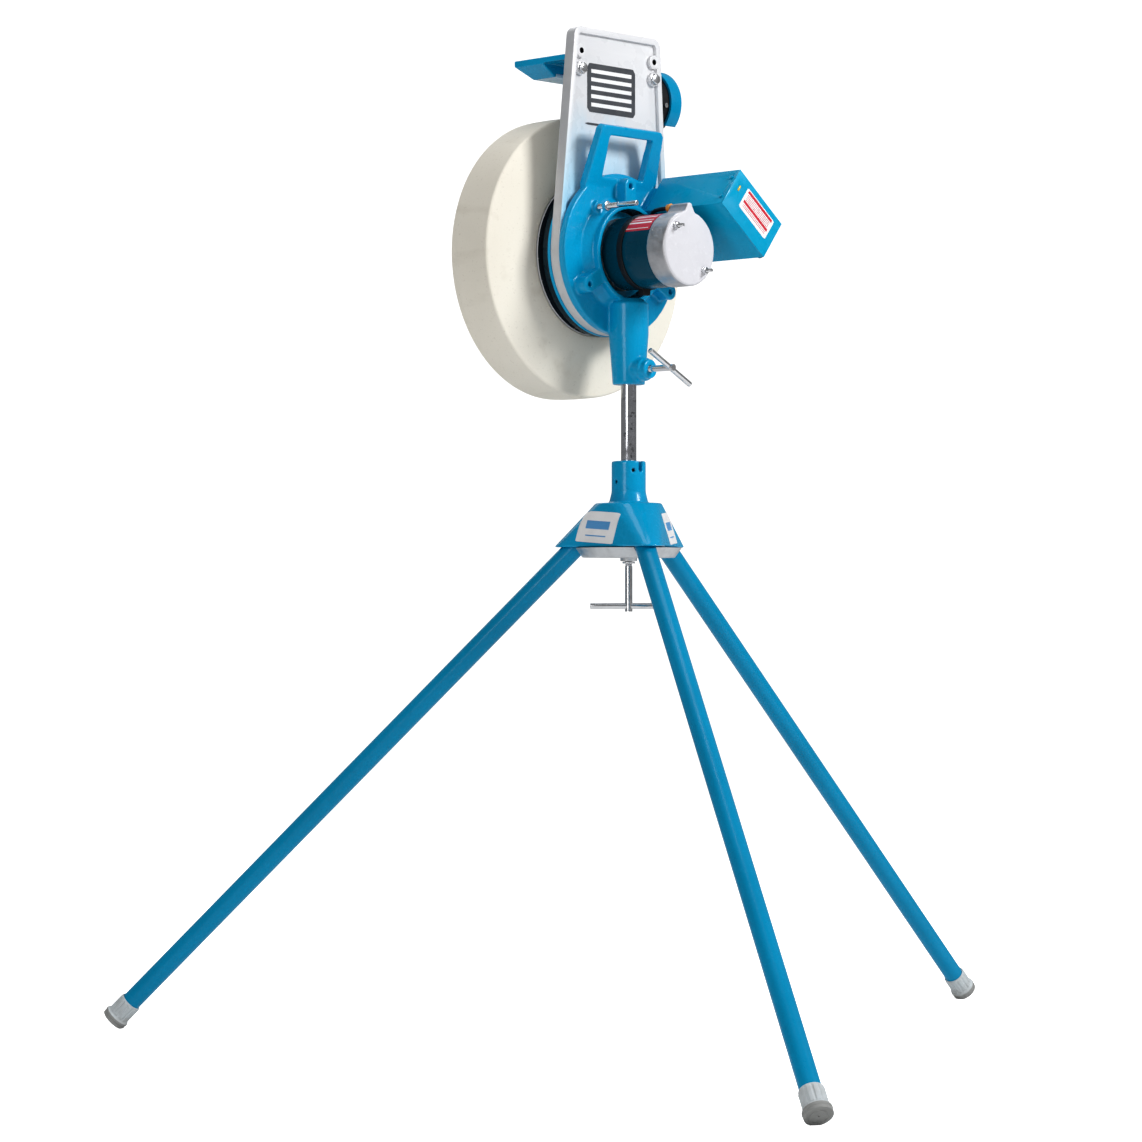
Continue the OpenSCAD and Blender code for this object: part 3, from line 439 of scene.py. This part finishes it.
def solids(node):
    """The box (low, high) of each separate solid in a CAD node."""
    bm = cad_bmesh(node)
    left = set(bm.verts)
    boxes = []
    while left:
        stack = [left.pop()]
        group = list(stack)
        while stack:
            for edge in stack.pop().link_edges:
                for vert in edge.verts:
                    if vert in left:
                        left.discard(vert)
                        stack.append(vert)
                        group.append(vert)
        low = Vector([min(v.co[i] for v in group) for i in range(3)])
        high = Vector([max(v.co[i] for v in group) for i in range(3)])
        boxes.append((low, high))
    bm.free()
    return boxes


def centre_xz(low, high):
    """The middle of a box as seen along Y."""
    return (low.x + high.x) / 2, (low.z + high.z) / 2


def rounded(points, radius, steps=4):
    """A closed outline with its corners rounded off."""
    out = []
    count = len(points)
    for i, corner in enumerate(points):
        corner = Vector(corner)
        before = Vector(points[i - 1]) - corner
        after = Vector(points[(i + 1) % count]) - corner
        reach = min(radius, before.length * 0.45, after.length * 0.45)
        a = corner + before.normalized() * reach
        b = corner + after.normalized() * reach
        for k in range(steps + 1):
            t = k / steps
            out.append(tuple(a * (1 - t) ** 2 + corner * 2 * t * (1 - t) + b * t ** 2))
    return out


def polar(place, radius, angle, height):
    """The point at a radius, an angle and a height round the Z axis of the matrix place."""
    return place @ Vector((radius * math.cos(angle), radius * math.sin(angle), height))


def bridge(bm, first, second):
    """Faces between two closed rings of equally many points."""
    for k in range(len(first)):
        after = (k + 1) % len(first)
        bm.faces.new((first[k], first[after], second[after], second[k]))


def turned(outline, place, steps, relief=None):
    """A closed outline of (radius, height) turned round the Z axis of the matrix place.
    relief(angle, radius, height) may give a change of radius."""
    bm = bmesh.new()
    rings = []
    for k in range(steps):
        angle = 2 * math.pi * k / steps
        ring = []
        for radius, height in outline:
            change = relief(angle, radius, height) if relief else 0
            ring.append(bm.verts.new(polar(place, radius + change, angle, height)))
        rings.append(ring)
    for ring, following in zip(rings, rings[1:] + rings[:1]):
        bridge(bm, ring, following)
    bmesh.ops.remove_doubles(bm, verts=bm.verts, dist=1e-7)
    return bm


def along(origin, direction):
    """A matrix whose Z axis runs from origin in a direction."""
    return Matrix.Translation(origin) @ Vector(direction).to_track_quat("Z", "Y").to_matrix().to_4x4()


def join(*parts):
    """One bmesh made of several."""
    whole = bmesh.new()
    for part in parts:
        mesh = bpy.data.meshes.new("part")
        part.to_mesh(mesh)
        part.free()
        whole.from_mesh(mesh)
        bpy.data.meshes.remove(mesh)
    return whole


def threaded_rod(place, radius, length, pitch, plain):
    """A rod along the Z axis of the matrix place: plain at first, then threaded, with a chamfered tip."""
    depth = 0.54 * pitch
    chamfer = 0.22 * radius
    sides = 28
    rings_per_turn = 8
    rings = max(rings_per_turn, int((length - plain) / pitch * rings_per_turn))
    heights = [0.0] + [plain + (length - plain) * i / rings for i in range(rings + 1)]
    bm = bmesh.new()
    grid = []
    for z in heights:
        ring = []
        for k in range(sides):
            phase = (z / pitch - k / sides) % 1
            cut = depth * abs(2 * phase - 1) if z > plain + pitch * 0.5 else 0
            tip = max(0, chamfer - (length - z))
            ring.append(bm.verts.new(polar(place, radius - max(cut, tip), 2 * math.pi * k / sides, z)))
        grid.append(ring)
    for ring, following in zip(grid, grid[1:]):
        bridge(bm, ring, following)
    bm.faces.new(list(reversed(grid[0])))
    bm.faces.new(grid[-1])
    return bm


def hexagon(place, across, height, hole=0.0):
    """A hexagon nut, or a bolt head where hole is 0, with both faces chamfered. It stands on z = 0."""
    sides = 72
    half = across / 2
    face_r = half * 0.95
    inner = hole if hole else half * 0.3
    chamfer = math.tan(math.radians(30))
    bm = bmesh.new()
    rings = []

    def ring(radius_of, z_of):
        made = []
        for k in range(sides):
            angle = 2 * math.pi * k / sides
            r = radius_of(angle)
            made.append(bm.verts.new(polar(place, r, angle, z_of(r))))
        rings.append(made)

    def edge(angle):
        return half / math.cos((angle + math.pi / 6) % (math.pi / 3) - math.pi / 6)

    def drop(r):
        return (r - face_r) * chamfer

    ring(lambda a: inner, lambda r: 0)
    ring(lambda a: face_r, lambda r: 0)
    ring(edge, drop)
    ring(edge, lambda r: height - drop(r))
    ring(lambda a: face_r, lambda r: height)
    ring(lambda a: inner, lambda r: height)
    for one, following in zip(rings, rings[1:]):
        bridge(bm, one, following)
    if hole:
        bridge(bm, rings[-1], rings[0])
    else:
        bm.faces.new(rings[0])
        bm.faces.new(rings[-1])
    return bm


def washer(place, r_in, r_out, height):
    """A flat ring with rounded edges, standing on z = 0 of the matrix place."""
    outline = rounded([(r_in, 0), (r_out, 0), (r_out, height), (r_in, height)], height * 0.35, 2)
    return turned(outline, place, 48)


def block(place, size, bevel):
    """A box of the given size with rounded edges, centred on the matrix place."""
    bm = bmesh.new()
    bmesh.ops.create_cube(bm, size=1, matrix=place @ Matrix.Diagonal((*size, 1)))
    bmesh.ops.bevel(bm, geom=bm.edges[:], offset=bevel, segments=2, affect="EDGES")
    return bm


def slab(place, width, height, thick, corner, bars=(), rows=2):
    """A thin rounded sheet on a surface. place(u, v, h) gives a point u and v along it and h above it.
    bars are (v, width, height) of the bars printed across it, which take the second material."""
    bm = bmesh.new()
    columns = 24
    bar_low = thick * 0.6
    bar_high = thick * 1.5

    def patch(middle, wide, tall, low, high, index, radius=0.0):
        grid = {}
        for i in range(columns + 1):
            for j in range(rows + 1):
                u = -wide / 2 + wide * i / columns
                over = abs(u) - (wide / 2 - radius)
                inset = 0
                if radius and over > 0:
                    inset = radius - math.sqrt(max(0, radius ** 2 - over ** 2))
                v = (tall / 2 - inset) * (2 * j / rows - 1)
                for level, h in enumerate((low, high)):
                    grid[i, j, level] = bm.verts.new(place(u, middle + v, h))
        for i in range(columns):
            for j in range(rows):
                for level in (0, 1):
                    corners = [grid[i + a, j + b, level] for a, b in ((0, 0), (1, 0), (1, 1), (0, 1))]
                    bm.faces.new(corners).material_index = index
        border = [(i, 0) for i in range(columns)] + [(columns, j) for j in range(rows)]
        border += [(i, rows) for i in range(columns, 0, -1)] + [(0, j) for j in range(rows, 0, -1)]
        for (i, j), (k, m) in zip(border, border[1:] + border[:1]):
            corners = (grid[i, j, 0], grid[k, m, 0], grid[k, m, 1], grid[i, j, 1])
            bm.faces.new(corners).material_index = index

    patch(0, width, height, 0, thick, 0, corner)
    for v, wide, tall in bars:
        patch(v, wide, tall, bar_low, bar_high, 1)
    return bm


def flat_place(origin, right, up):
    """A place function for slab() on a flat face."""
    right, up = Vector(right).normalized(), Vector(up).normalized()
    out = right.cross(up)
    return lambda u, v, h: Vector(origin) + right * u + up * v + out * h


# ---------- Stand ----------

def leg_frame(azimuth):
    """Z runs down the leg from the point where the leg axes meet."""
    down = Vector(JOINTS["leg_front_slide"]["axis"])
    low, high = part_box("leg_tube_front")
    middle = (low + high) / 2
    apex = middle - down * (middle.x / down.x)
    return Matrix.Rotation(math.radians(azimuth), 4, "Z") @ along(apex, down)


def extent(node, place):
    """A CAD node's first and last position along the matrix's Z axis."""
    back = place.inverted()
    heights = [(back @ v.co).z for v in frame["nodes"][node].data.vertices]
    return min(heights), max(heights)


def make_leg(side, azimuth):
    node = "leg_tube_" + side
    place = leg_frame(azimuth)
    top, end = extent(node, place)
    outer = 14.3 * MM
    inner = 12.7 * MM
    rows = 40
    wall = [(outer, top + (end - top) * k / rows) for k in range(rows + 1)]
    stand_in(node, turned(rounded([(inner, top), *wall, (inner, end)], 0.5 * MM, 2), place, 72))


def make_foot(side, azimuth):
    """A ribbed rubber sleeve that flares into a foot, cut off level with the floor."""
    node = "foot_tip_" + side
    place = leg_frame(azimuth)
    top, end = extent(node, place)
    sleeve = 17 * MM
    flare = 19.5 * MM
    inner = 14.4 * MM
    middle = 1 * MM
    bore_end = end - 6.9 * MM
    sole_top = end - 9.8 * MM
    wall = [(inner, top), (sleeve - 1 * MM, top), (sleeve - 0.6 * MM, top + 2 * MM)]
    wall += [(sleeve - 0.5 * MM, top + t * MM) for t in (4, 8, 12, 16, 20, 23)]
    base = [(sleeve - 0.4 * MM, end - 13 * MM), (sleeve + 0.2 * MM, end - 11.5 * MM),
            (flare, end - 9.5 * MM), (flare + 0.2 * MM, end - 6.5 * MM),
            (flare - 0.9 * MM, end - 4.8 * MM), (flare - 0.3 * MM, end - 3.2 * MM), (flare - 0.4 * MM, end)]
    pad = [(15 * MM, end), (14.4 * MM, end - 0.8 * MM), (11.5 * MM, end - 0.8 * MM), (11 * MM, end),
           (middle, end), (middle, bore_end), (inner, bore_end)]
    ribs = 12
    ribs_top = top + 2.5 * MM
    ribs_end = end - 13.5 * MM

    def relief(angle, radius, height):
        if radius < sleeve * 0.93 or not ribs_top < height < ribs_end:
            return 0
        return 0.8 * MM * max(-1.0, min(0.6, 1.5 * math.cos(ribs * angle) + 0.7))

    bm = turned(rounded(wall + base + pad, 0.9 * MM, 3), place, 240, relief)
    cut = bmesh.ops.bisect_plane(bm, geom=bm.verts[:] + bm.edges[:] + bm.faces[:], dist=1e-6,
                                 plane_co=(0, 0, 0), plane_no=(0, 0, -1), clear_outer=True)
    edges = [e for e in cut["geom_cut"] if isinstance(e, bmesh.types.BMEdge)]
    bmesh.ops.contextual_create(bm, geom=edges)
    back = place.inverted()
    for face in bm.faces:
        face.material_index = 1 if (back @ face.calc_center_median()).z > sole_top else 0
    stand_in(node, bm, [LOOKS["foot_rubber"], FOOT_SOLE], 50)


def make_clamp_screw():
    """The screw under the hub, with the collar that carries the clamp plate."""
    low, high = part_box("clamp_screw")
    radius = 5.35 * MM
    collar_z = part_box("clamp_plate")[0].z - 3.6 * MM
    rod = threaded_rod(along((0, 0, low.z), UP), radius, high.z - low.z, COARSE_PITCH, plain=64 * MM)
    collar = washer(along((0, 0, collar_z), UP), radius * 0.9, 9 * MM, 3.1 * MM)
    stand_in("clamp_screw", join(rod, collar))


def make_stand():
    hub = casting("hub_casting", 1.3, 14, CAST_BLUE)
    make_hub_stickers(hub)
    machined("clamp_plate", 1.2)
    machined("post", 0.5)
    for side, azimuth in LEGS.items():
        make_foot(side, azimuth)
        make_leg(side, azimuth)
    make_clamp_screw()
    machined("clamp_tee", 0.9)
    machined("hub_set_screws", 0.25, DARK_STEEL)


def decal(name, onto, centre, facing, turn, width, height, bars, looks):
    """A blank sticker laid on a piece: its points are dropped on the surface from along facing."""
    tree = BVHTree.FromObject(onto, bpy.context.evaluated_depsgraph_get())
    out = Vector(facing).normalized()
    right = Vector(UP).cross(out).normalized()
    up = out.cross(right)
    spin = Matrix.Rotation(math.radians(turn), 3, out)
    right, up = spin @ right, spin @ up
    drop = 50 * MM
    gap = 0.15 * MM

    def place(u, v, h):
        start = Vector(centre) + right * u + up * v + out * drop
        hit = tree.ray_cast(start, -out)[0]
        return (hit if hit else start - out * drop) + out * (h + gap)

    sheet = slab(place, width, height, 0.3 * MM, 1 * MM, bars, rows=16)
    show(name, sheet, "tripod_hub", looks, sharp=60)


def make_hub_stickers(hub):
    """Two blank stickers on the casting's slopes, each with a plain blue band and a thin line."""
    height = 46 * MM
    # The middle in metres, the way it faces, its turn in degrees, and the widths of the sticker,
    # its band and its line in millimetres
    left = ((-0.055, 0.007, 0.737), (-0.93, 0, 0.36), -4, 74, 46, 40)
    right = ((0.036, -0.047, 0.737), (0.47, -0.81, 0.36), 4, 50, 30, 26)
    for side, (centre, facing, turn, width, band, line) in (("left", left), ("right", right)):
        bars = [(3 * MM, band * MM, 12 * MM), (-13 * MM, line * MM, 1.8 * MM)]
        decal("vis_hub_sticker_" + side, hub, centre, facing, turn, width * MM, height, bars,
              [LABEL_WHITE, LABEL_BLUE])


# ---------- Head ----------

def pan_clamp_parts():
    low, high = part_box("pan_clamp_screw")
    start = along((0, low.y, (low.z + high.z) / 2), TO_WHEEL)
    rod = threaded_rod(start, 4.75 * MM, high.y - low.y, COARSE_PITCH, plain=40 * MM)
    stand_in("pan_clamp_screw", rod)
    machined("pan_clamp_tee", 0.9)


def elevation_lock_parts():
    """The stud that locks the tilt, its smooth grip and its nut."""
    low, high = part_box("elevation_lock_screw")
    x, z = centre_xz(low, high)
    stud_y = -30 * MM
    middle = 0.1 * MM
    grip_r = 3.7 * MM
    grip_length = 36 * MM
    stud = threaded_rod(along((x, stud_y, z), TO_WHEEL), 3.95 * MM, high.y - stud_y, M8_PITCH,
                        plain=0.5 * MM)
    outline = rounded([(middle, 0), (grip_r, 0), (grip_r, grip_length), (middle, grip_length)], 0.7 * MM)
    grip = turned(outline, along((x, low.y, z), TO_WHEEL), 40)
    stand_in("elevation_lock_screw", join(stud, grip))
    low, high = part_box("elevation_lock_nut")
    nut = hexagon(along((x, low.y, z), TO_WHEEL), 13 * MM, high.y - low.y, hole=3.7 * MM)
    stand_in("elevation_lock_nut", nut)


def make_head():
    """The head casting, with painted shade on its faces inside the ring that holds the motor, and what is on it.
    """
    head = casting("head_casting", 1.4, 7, CAST_BLUE)
    head.data.materials.append(OPENING_PAINTED_SHADE)
    # Faces that look inward within the ring round the motor take the painted shade
    opening_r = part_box("motor_can")[1].x + 12 * MM
    for face in head.data.polygons:
        from_axis = Vector((face.center.x, 0, face.center.z - AXIS.z))
        inward = face.normal.dot(from_axis.normalized()) < -0.4
        if inward and from_axis.length < opening_r:
            face.material_index = 1
    machined("rear_disc", 1.2, DISC_PAINT_AND_SHADE)
    pan_clamp_parts()
    elevation_lock_parts()


# ---------- Motor ----------

def make_motor():
    machined("motor_can", 0.5)
    cap = casting("motor_end_cap", 1.1, 6, [LOOKS["cap_paint"], CAP_SIDE])
    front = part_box("motor_end_cap")[0].y
    side_y = front + 2.2 * MM
    for face in cap.data.polygons:
        face.material_index = 0 if face.center.y < side_y else 1
    machined("motor_strap", 0.5)
    machined("lead_grommet", 0.8)
    machined("motor_drive_bell", 0.5)
    bolts = []
    rod_y = front + 8 * MM
    for low, high in solids("motor_through_bolts"):
        x, z = centre_xz(low, high)
        start = along((x, rod_y, z), TO_MOTOR)
        bolts.append(threaded_rod(start, 2.5 * MM, rod_y - low.y, pitch=0.8 * MM, plain=1 * MM))
        bolts.append(washer(along((x, front - 0.05 * MM, z), TO_MOTOR), 2.6 * MM, 5.4 * MM, 0.9 * MM))
        bolts.append(hexagon(along((x, front - 0.95 * MM, z), TO_MOTOR), 9 * MM, 4.2 * MM, 2.3 * MM))
    stand_in("motor_through_bolts", join(*bolts))


# The route of the motor's lead, from its grommet over the motor and into the box's underside
LEAD_ROUTE = [(0, -76, 1188.5), (0.4, -68.7, 1188.5), (1.5, -61.5, 1188.5), (3.5, -54.5, 1188.4),
              (6.1, -47.7, 1188.2), (9.4, -41.3, 1187.7), (13.4, -35.2, 1187), (17.9, -29.6, 1185.8),
              (22.8, -24.5, 1184), (27.9, -20, 1181.5), (31.9, -17.1, 1180.7), (36.3, -15.5, 1180.6),
              (40.5, -14.4, 1182.2), (44, -14, 1185.3), (45.6, -14, 1187.3), (47.1, -14, 1189.3)]


def make_lead():
    curve = bpy.data.curves.new("vis_motor_lead", "CURVE")
    curve.dimensions = "3D"
    curve.bevel_depth = 3 * MM
    curve.bevel_resolution = 6
    curve.use_fill_caps = True
    curve.resolution_u = 6
    spline = curve.splines.new("BEZIER")
    spline.bezier_points.add(len(LEAD_ROUTE) - 1)
    for point, place in zip(spline.bezier_points, LEAD_ROUTE):
        point.co = Vector(place) * MM
        point.handle_left_type = point.handle_right_type = "AUTO"
    curve.materials.append(LOOKS["black_rubber"])
    lead = bpy.data.objects.new("vis_motor_lead", curve)
    bpy.context.scene.collection.objects.link(lead)
    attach(lead, "head")
    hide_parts("motor_lead")


# ---------- Wheel ----------

def spoke(turn):
    """A direction square to the wheel's axis, at a part of a whole turn."""
    angle = 2 * math.pi * turn
    return Vector((math.cos(angle), 0, math.sin(angle)))


def make_tyre():
    """The soft tyre, its surface a little uneven."""
    low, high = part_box("tyre")
    radius = (high.z - low.z) / 2
    wide = (high.y - low.y) / 2
    half_tread = 35 * MM
    bead = 101.8 * MM
    well = 110 * MM
    inner = radius - 13 * MM
    rim_r = 113.5 * MM
    side_y = 0.1 * MM - wide
    side = [(bead, -wide + 4 * MM), (rim_r, -wide + 3.4 * MM), (rim_r + 1 * MM, side_y)]
    bulge_r = radius - 3 * MM - rim_r
    bulge_y = wide - half_tread - 1 * MM
    bulge = [(rim_r + bulge_r * t, side_y + bulge_y * t ** 1.15) for t in (0.25, 0.5, 0.75, 0.92)]
    tread = [(radius - 3.4 * MM, -half_tread - 1 * MM), (radius - 1 * MM, -half_tread + 1 * MM),
             (radius - 0.3 * MM, -half_tread * 0.6), (radius, 0)]
    left = side + bulge + tread
    outside = left + [(r, -y) for r, y in reversed(left[:-1])]
    cavity = [(well, 30 * MM), (inner - 5 * MM, 25 * MM), (inner, 19 * MM)]
    inside = cavity + [(r, -y) for r, y in reversed(cavity)]

    def relief(angle, r, y):
        soft = noise.noise(Vector((math.cos(angle) * 3, math.sin(angle) * 3, y * 30))) * 0.35 * MM
        return min(soft, 0) if r > bead else 0

    outline = rounded(outside + inside, 1.5 * MM, 3)
    stand_in("tyre", turned(outline, along(WHEEL, TO_WHEEL), 288, relief), sharp=32)
    make_mould_ribs(rim_r + 5 * MM, wide - 0.25 * MM)


def make_mould_ribs(radius, half_width):
    """Short mould ribs in a ring on each side of the tyre."""
    size = (4 * MM, 0.9 * MM, 0.9 * MM)
    ribs = []
    count = 36
    for k in range(count):
        out = spoke(k / count)
        across = out.cross(Vector(TO_WHEEL))
        facing = Matrix((out, across, TO_WHEEL)).transposed().to_4x4()
        for sign in (-1, 1):
            centre = WHEEL + out * radius + Vector((0, sign * half_width, 0))
            ribs.append(block(Matrix.Translation(centre) @ facing, size, 0.25 * MM))
    show("vis_tyre_mould_ribs", join(*ribs), "wheel", LOOKS["tyre_rubber"])


def make_rim():
    """The two pressed halves, the near one with painted shade inside its bead, with small notches round its edge.
    """
    near = machined("rim_near_half", 0.7, [LOOKS["rim_steel"], RIM_INSIDE_PAINTED_SHADE])
    inside_r = 107 * MM
    points = near.data.vertices
    # Faces nearer the axis than inside_r take the painted shade
    for face in near.data.polygons:
        reach = min(math.hypot(points[i].co.x, points[i].co.z - WHEEL.z) for i in face.vertices)
        face.material_index = 1 if reach < inside_r else 0
    machined("rim_far_half", 0.7)
    low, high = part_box("rim_near_half")
    sunk = 0.6 * MM
    edge_r = (high.z - low.z) / 2 - sunk
    notches = []
    count = 22
    for k in range(count):
        out = spoke((k + 0.3) / count)
        centre = Vector((0, low.y + sunk, WHEEL.z)) + out * edge_r
        notches.append(block(along(centre, out), (1.6 * MM, 1.6 * MM, 2.6 * MM), 0.3 * MM))
    show("vis_rim_notches", join(*notches), "wheel", LOOKS["rim_steel"])
    machined("wheel_hub", 0.6)
    machined("valve_stem", 0.5)


def make_rim_bolts():
    """A bolt with its nut for each shank in the CAD node, whose other solids are the heads and nuts."""
    shortest_shank = 8 * MM
    head_y = WHEEL.y + 3.05 * MM
    nut_y = WHEEL.y - 18 * MM
    across = 13 * MM
    parts = []
    for low, high in solids("rim_bolts"):
        if high.y - low.y > shortest_shank:
            x, z = centre_xz(low, high)
            shank = along((x, head_y, z), TO_MOTOR)
            parts.append(hexagon(along((x, head_y, z), TO_WHEEL), across, 5.4 * MM))
            parts.append(threaded_rod(shank, 4 * MM, head_y - low.y, M8_PITCH, plain=6 * MM))
            parts.append(hexagon(along((x, nut_y, z), TO_WHEEL), across, 6.9 * MM, hole=3.9 * MM))
    stand_in("rim_bolts", join(*parts))


def make_shaft_nut():
    low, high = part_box("shaft_nut")
    hole_r = 6.1 * MM
    nut_y = low.y + 2.45 * MM
    plate = washer(along((0, low.y, AXIS.z), TO_WHEEL), hole_r, 19 * MM, 2.4 * MM)
    nut = hexagon(along((0, nut_y, AXIS.z), TO_WHEEL), 19 * MM, high.y - 0.05 * MM - nut_y, hole_r)
    stand_in("shaft_nut", join(plate, nut))


# ---------- Ball guide ----------

def make_plate():
    """The plate's face is painted, its thin edge is bare, and its bolt holes have painted shade inside."""
    plate = machined("face_plate", 1.3, [LOOKS["plate_white"], PLATE_EDGE, BORE_PAINTED_SHADE])
    low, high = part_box("face_plate")
    painted_y = (low.y + high.y) / 2 - 1.5 * MM
    middle_x = 8 * MM
    half_spacing = 76.2 * MM
    shaded_hole_r = 6 * MM
    bolt_z = 1.391
    spare_z = 1.416
    holes = [(middle_x + side * half_spacing, z) for side in (-1, 1) for z in (bolt_z, spare_z)]
    for face in plate.data.polygons:
        if abs(face.normal.y) > 0.35 or face.center.y < painted_y:
            continue
        # Walls close to a hole take the painted shade; the rest of the thin edge is bare
        near_hole = any(math.hypot(face.center.x - x, face.center.z - z) < shaded_hole_r for x, z in holes)
        face.material_index = 2 if near_hole else 1


def make_guide_bolts():
    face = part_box("face_plate")[0].y
    shank_y = face - 1 * MM
    parts = []
    for low, high in solids("guide_bolts"):
        x, z = centre_xz(low, high)
        shank = along((x, shank_y, z), TO_WHEEL)
        parts.append(washer(along((x, face - 0.05 * MM, z), TO_MOTOR), 4.1 * MM, 8.5 * MM, 1.4 * MM))
        parts.append(hexagon(along((x, face - 1.5 * MM, z), TO_MOTOR), 13 * MM, 4 * MM))
        parts.append(threaded_rod(shank, 4 * MM, high.y - shank_y, M8_PITCH, plain=8 * MM))
    stand_in("guide_bolts", join(*parts))


def make_guide():
    make_plate()
    casting("guide_bracket", 1.2, 3, CAST_BLUE)
    machined("pressure_pad", 0.8)
    machined("exit_tube", 0.8)
    machined("exit_band", 0.7)
    make_guide_bolts()


def make_plate_graphic():
    """A plain dark panel with white bars, and a line, where the plate carries its printed mark."""
    recess = 5 * MM
    print_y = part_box("face_plate")[0].y + recess - 0.05 * MM
    thick = 0.3 * MM
    panel_place = flat_place((-2 * MM, print_y, 1.366), (1, 0, 0), UP)
    bars = [(v * MM, 84 * MM, 5.5 * MM) for v in (-24, -12, 0, 12, 24)]
    panel = slab(panel_place, 100 * MM, 70 * MM, thick, 6 * MM, bars)
    show("vis_plate_panel", panel, "ball_guide", [LABEL_GREY, LABEL_WHITE])
    line_place = flat_place((6 * MM, print_y, 1.314), (1, 0, 0), UP)
    line = slab(line_place, 124 * MM, 3.2 * MM, thick, 1.2 * MM)
    show("vis_plate_line", line, "ball_guide", LABEL_GREY)


# ---------- Control box ----------

BOX_UP = Vector(JOINTS["speed_knob_turn"]["axis"])
BOX_RIGHT = Vector(JOINTS["power_switch"]["axis"])
# The small pieces on the box, with the bevel of their edges in millimetres
CONTROLS = {"speed_knob": 0.8, "switch_body": 0.6, "switch_rocker": 0.5, "pilot_light": 0.6,
            "fuse_holder": 0.6, "power_inlet": 0.6}


def make_box():
    machined("control_box", 1.6, BOX_BLUE)
    machined("box_cover", 1.4, BOX_BLUE)
    for node, bevel_mm in CONTROLS.items():
        machined(node, bevel_mm)
    machined("box_screws", 0.4, BOX_BLUE)


def make_box_label():
    """A plain white label near the middle of the box's cover, with red bands and thin red lines."""
    low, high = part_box("box_cover")
    x, z = centre_xz(low, high)
    centre = Vector((x, low.y - 0.02 * MM, z)) + BOX_RIGHT * 6.8 * MM + BOX_UP * 5.8 * MM
    bars = [(v * MM, 63 * MM, 4.4 * MM) for v in (13.2, -4)]
    bars += [(v * MM, 59 * MM, 0.7 * MM) for v in (8.6, 5.8, 3.0, 0.2, -8.6, -11.4)]
    label = slab(flat_place(centre, BOX_RIGHT, BOX_UP), 71 * MM, 34 * MM, 0.3 * MM, 1.5 * MM, bars)
    show("vis_box_label", label, "head", [LABEL_WHITE, LABEL_RED])


def make_motor_label():
    """A plain red label with white lines, round the top of the motor."""
    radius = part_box("motor_can")[1].x + 0.02 * MM
    middle_y = -55 * MM
    tilt = math.radians(122)

    def place(u, v, h):
        angle = tilt - v / radius
        r = radius + h
        return Vector((r * math.cos(angle), middle_y + u, AXIS.z + r * math.sin(angle)))

    lines = ((-22, 1.2), (-11, 3), (-5, 1.2), (4, 3), (10, 1.2))
    bars = [(v * MM, 46 * MM, tall * MM) for v, tall in lines]
    label = slab(place, 54 * MM, 52 * MM, 0.25 * MM, 1 * MM, bars, rows=14)
    show("vis_motor_label", label, "head", [LABEL_RED, LABEL_WHITE])


# ---------- Build ----------

def dress_carried_nodes():
    """Gives every CAD node its procedural material, whether or not a finer piece stands for it."""
    for name, node in frame["nodes"].items():
        node.data.materials.clear()
        node.data.materials.append(LOOKS[SLOTS[name]])


def make_floor():
    """A pale floor that glows to the camera only, so that it meets the white world without an edge."""
    bm = bmesh.new()
    bmesh.ops.create_circle(bm, cap_ends=True, segments=96, radius=9)
    mesh = bpy.data.meshes.new("floor")
    bm.to_mesh(mesh)
    bm.free()
    glow = 0.80
    look = Look("floor", (0.82, 0.82, 0.82), 0.9, Specular_IOR_Level=0.1)
    look.bump(look.noise(40), 0.0005, 0.1)
    seen = look.add("ShaderNodeLightPath").outputs["Is Camera Ray"]
    look.shader.inputs["Emission Color"].default_value = (1, 1, 1, 1)
    look.links.new(look.range(seen, 0, 1, 0, glow), look.shader.inputs["Emission Strength"])
    mesh.materials.append(look.material)
    floor = bpy.data.objects.new("floor", mesh)
    bpy.context.scene.collection.objects.link(floor)


make_camera()
make_lead()
dress_carried_nodes()
make_light()
make_floor()
make_stand()
make_head()
make_motor()
make_motor_label()
make_tyre()
make_rim()
make_rim_bolts()
make_shaft_nut()
make_guide()
make_plate_graphic()
make_box()
make_box_label()
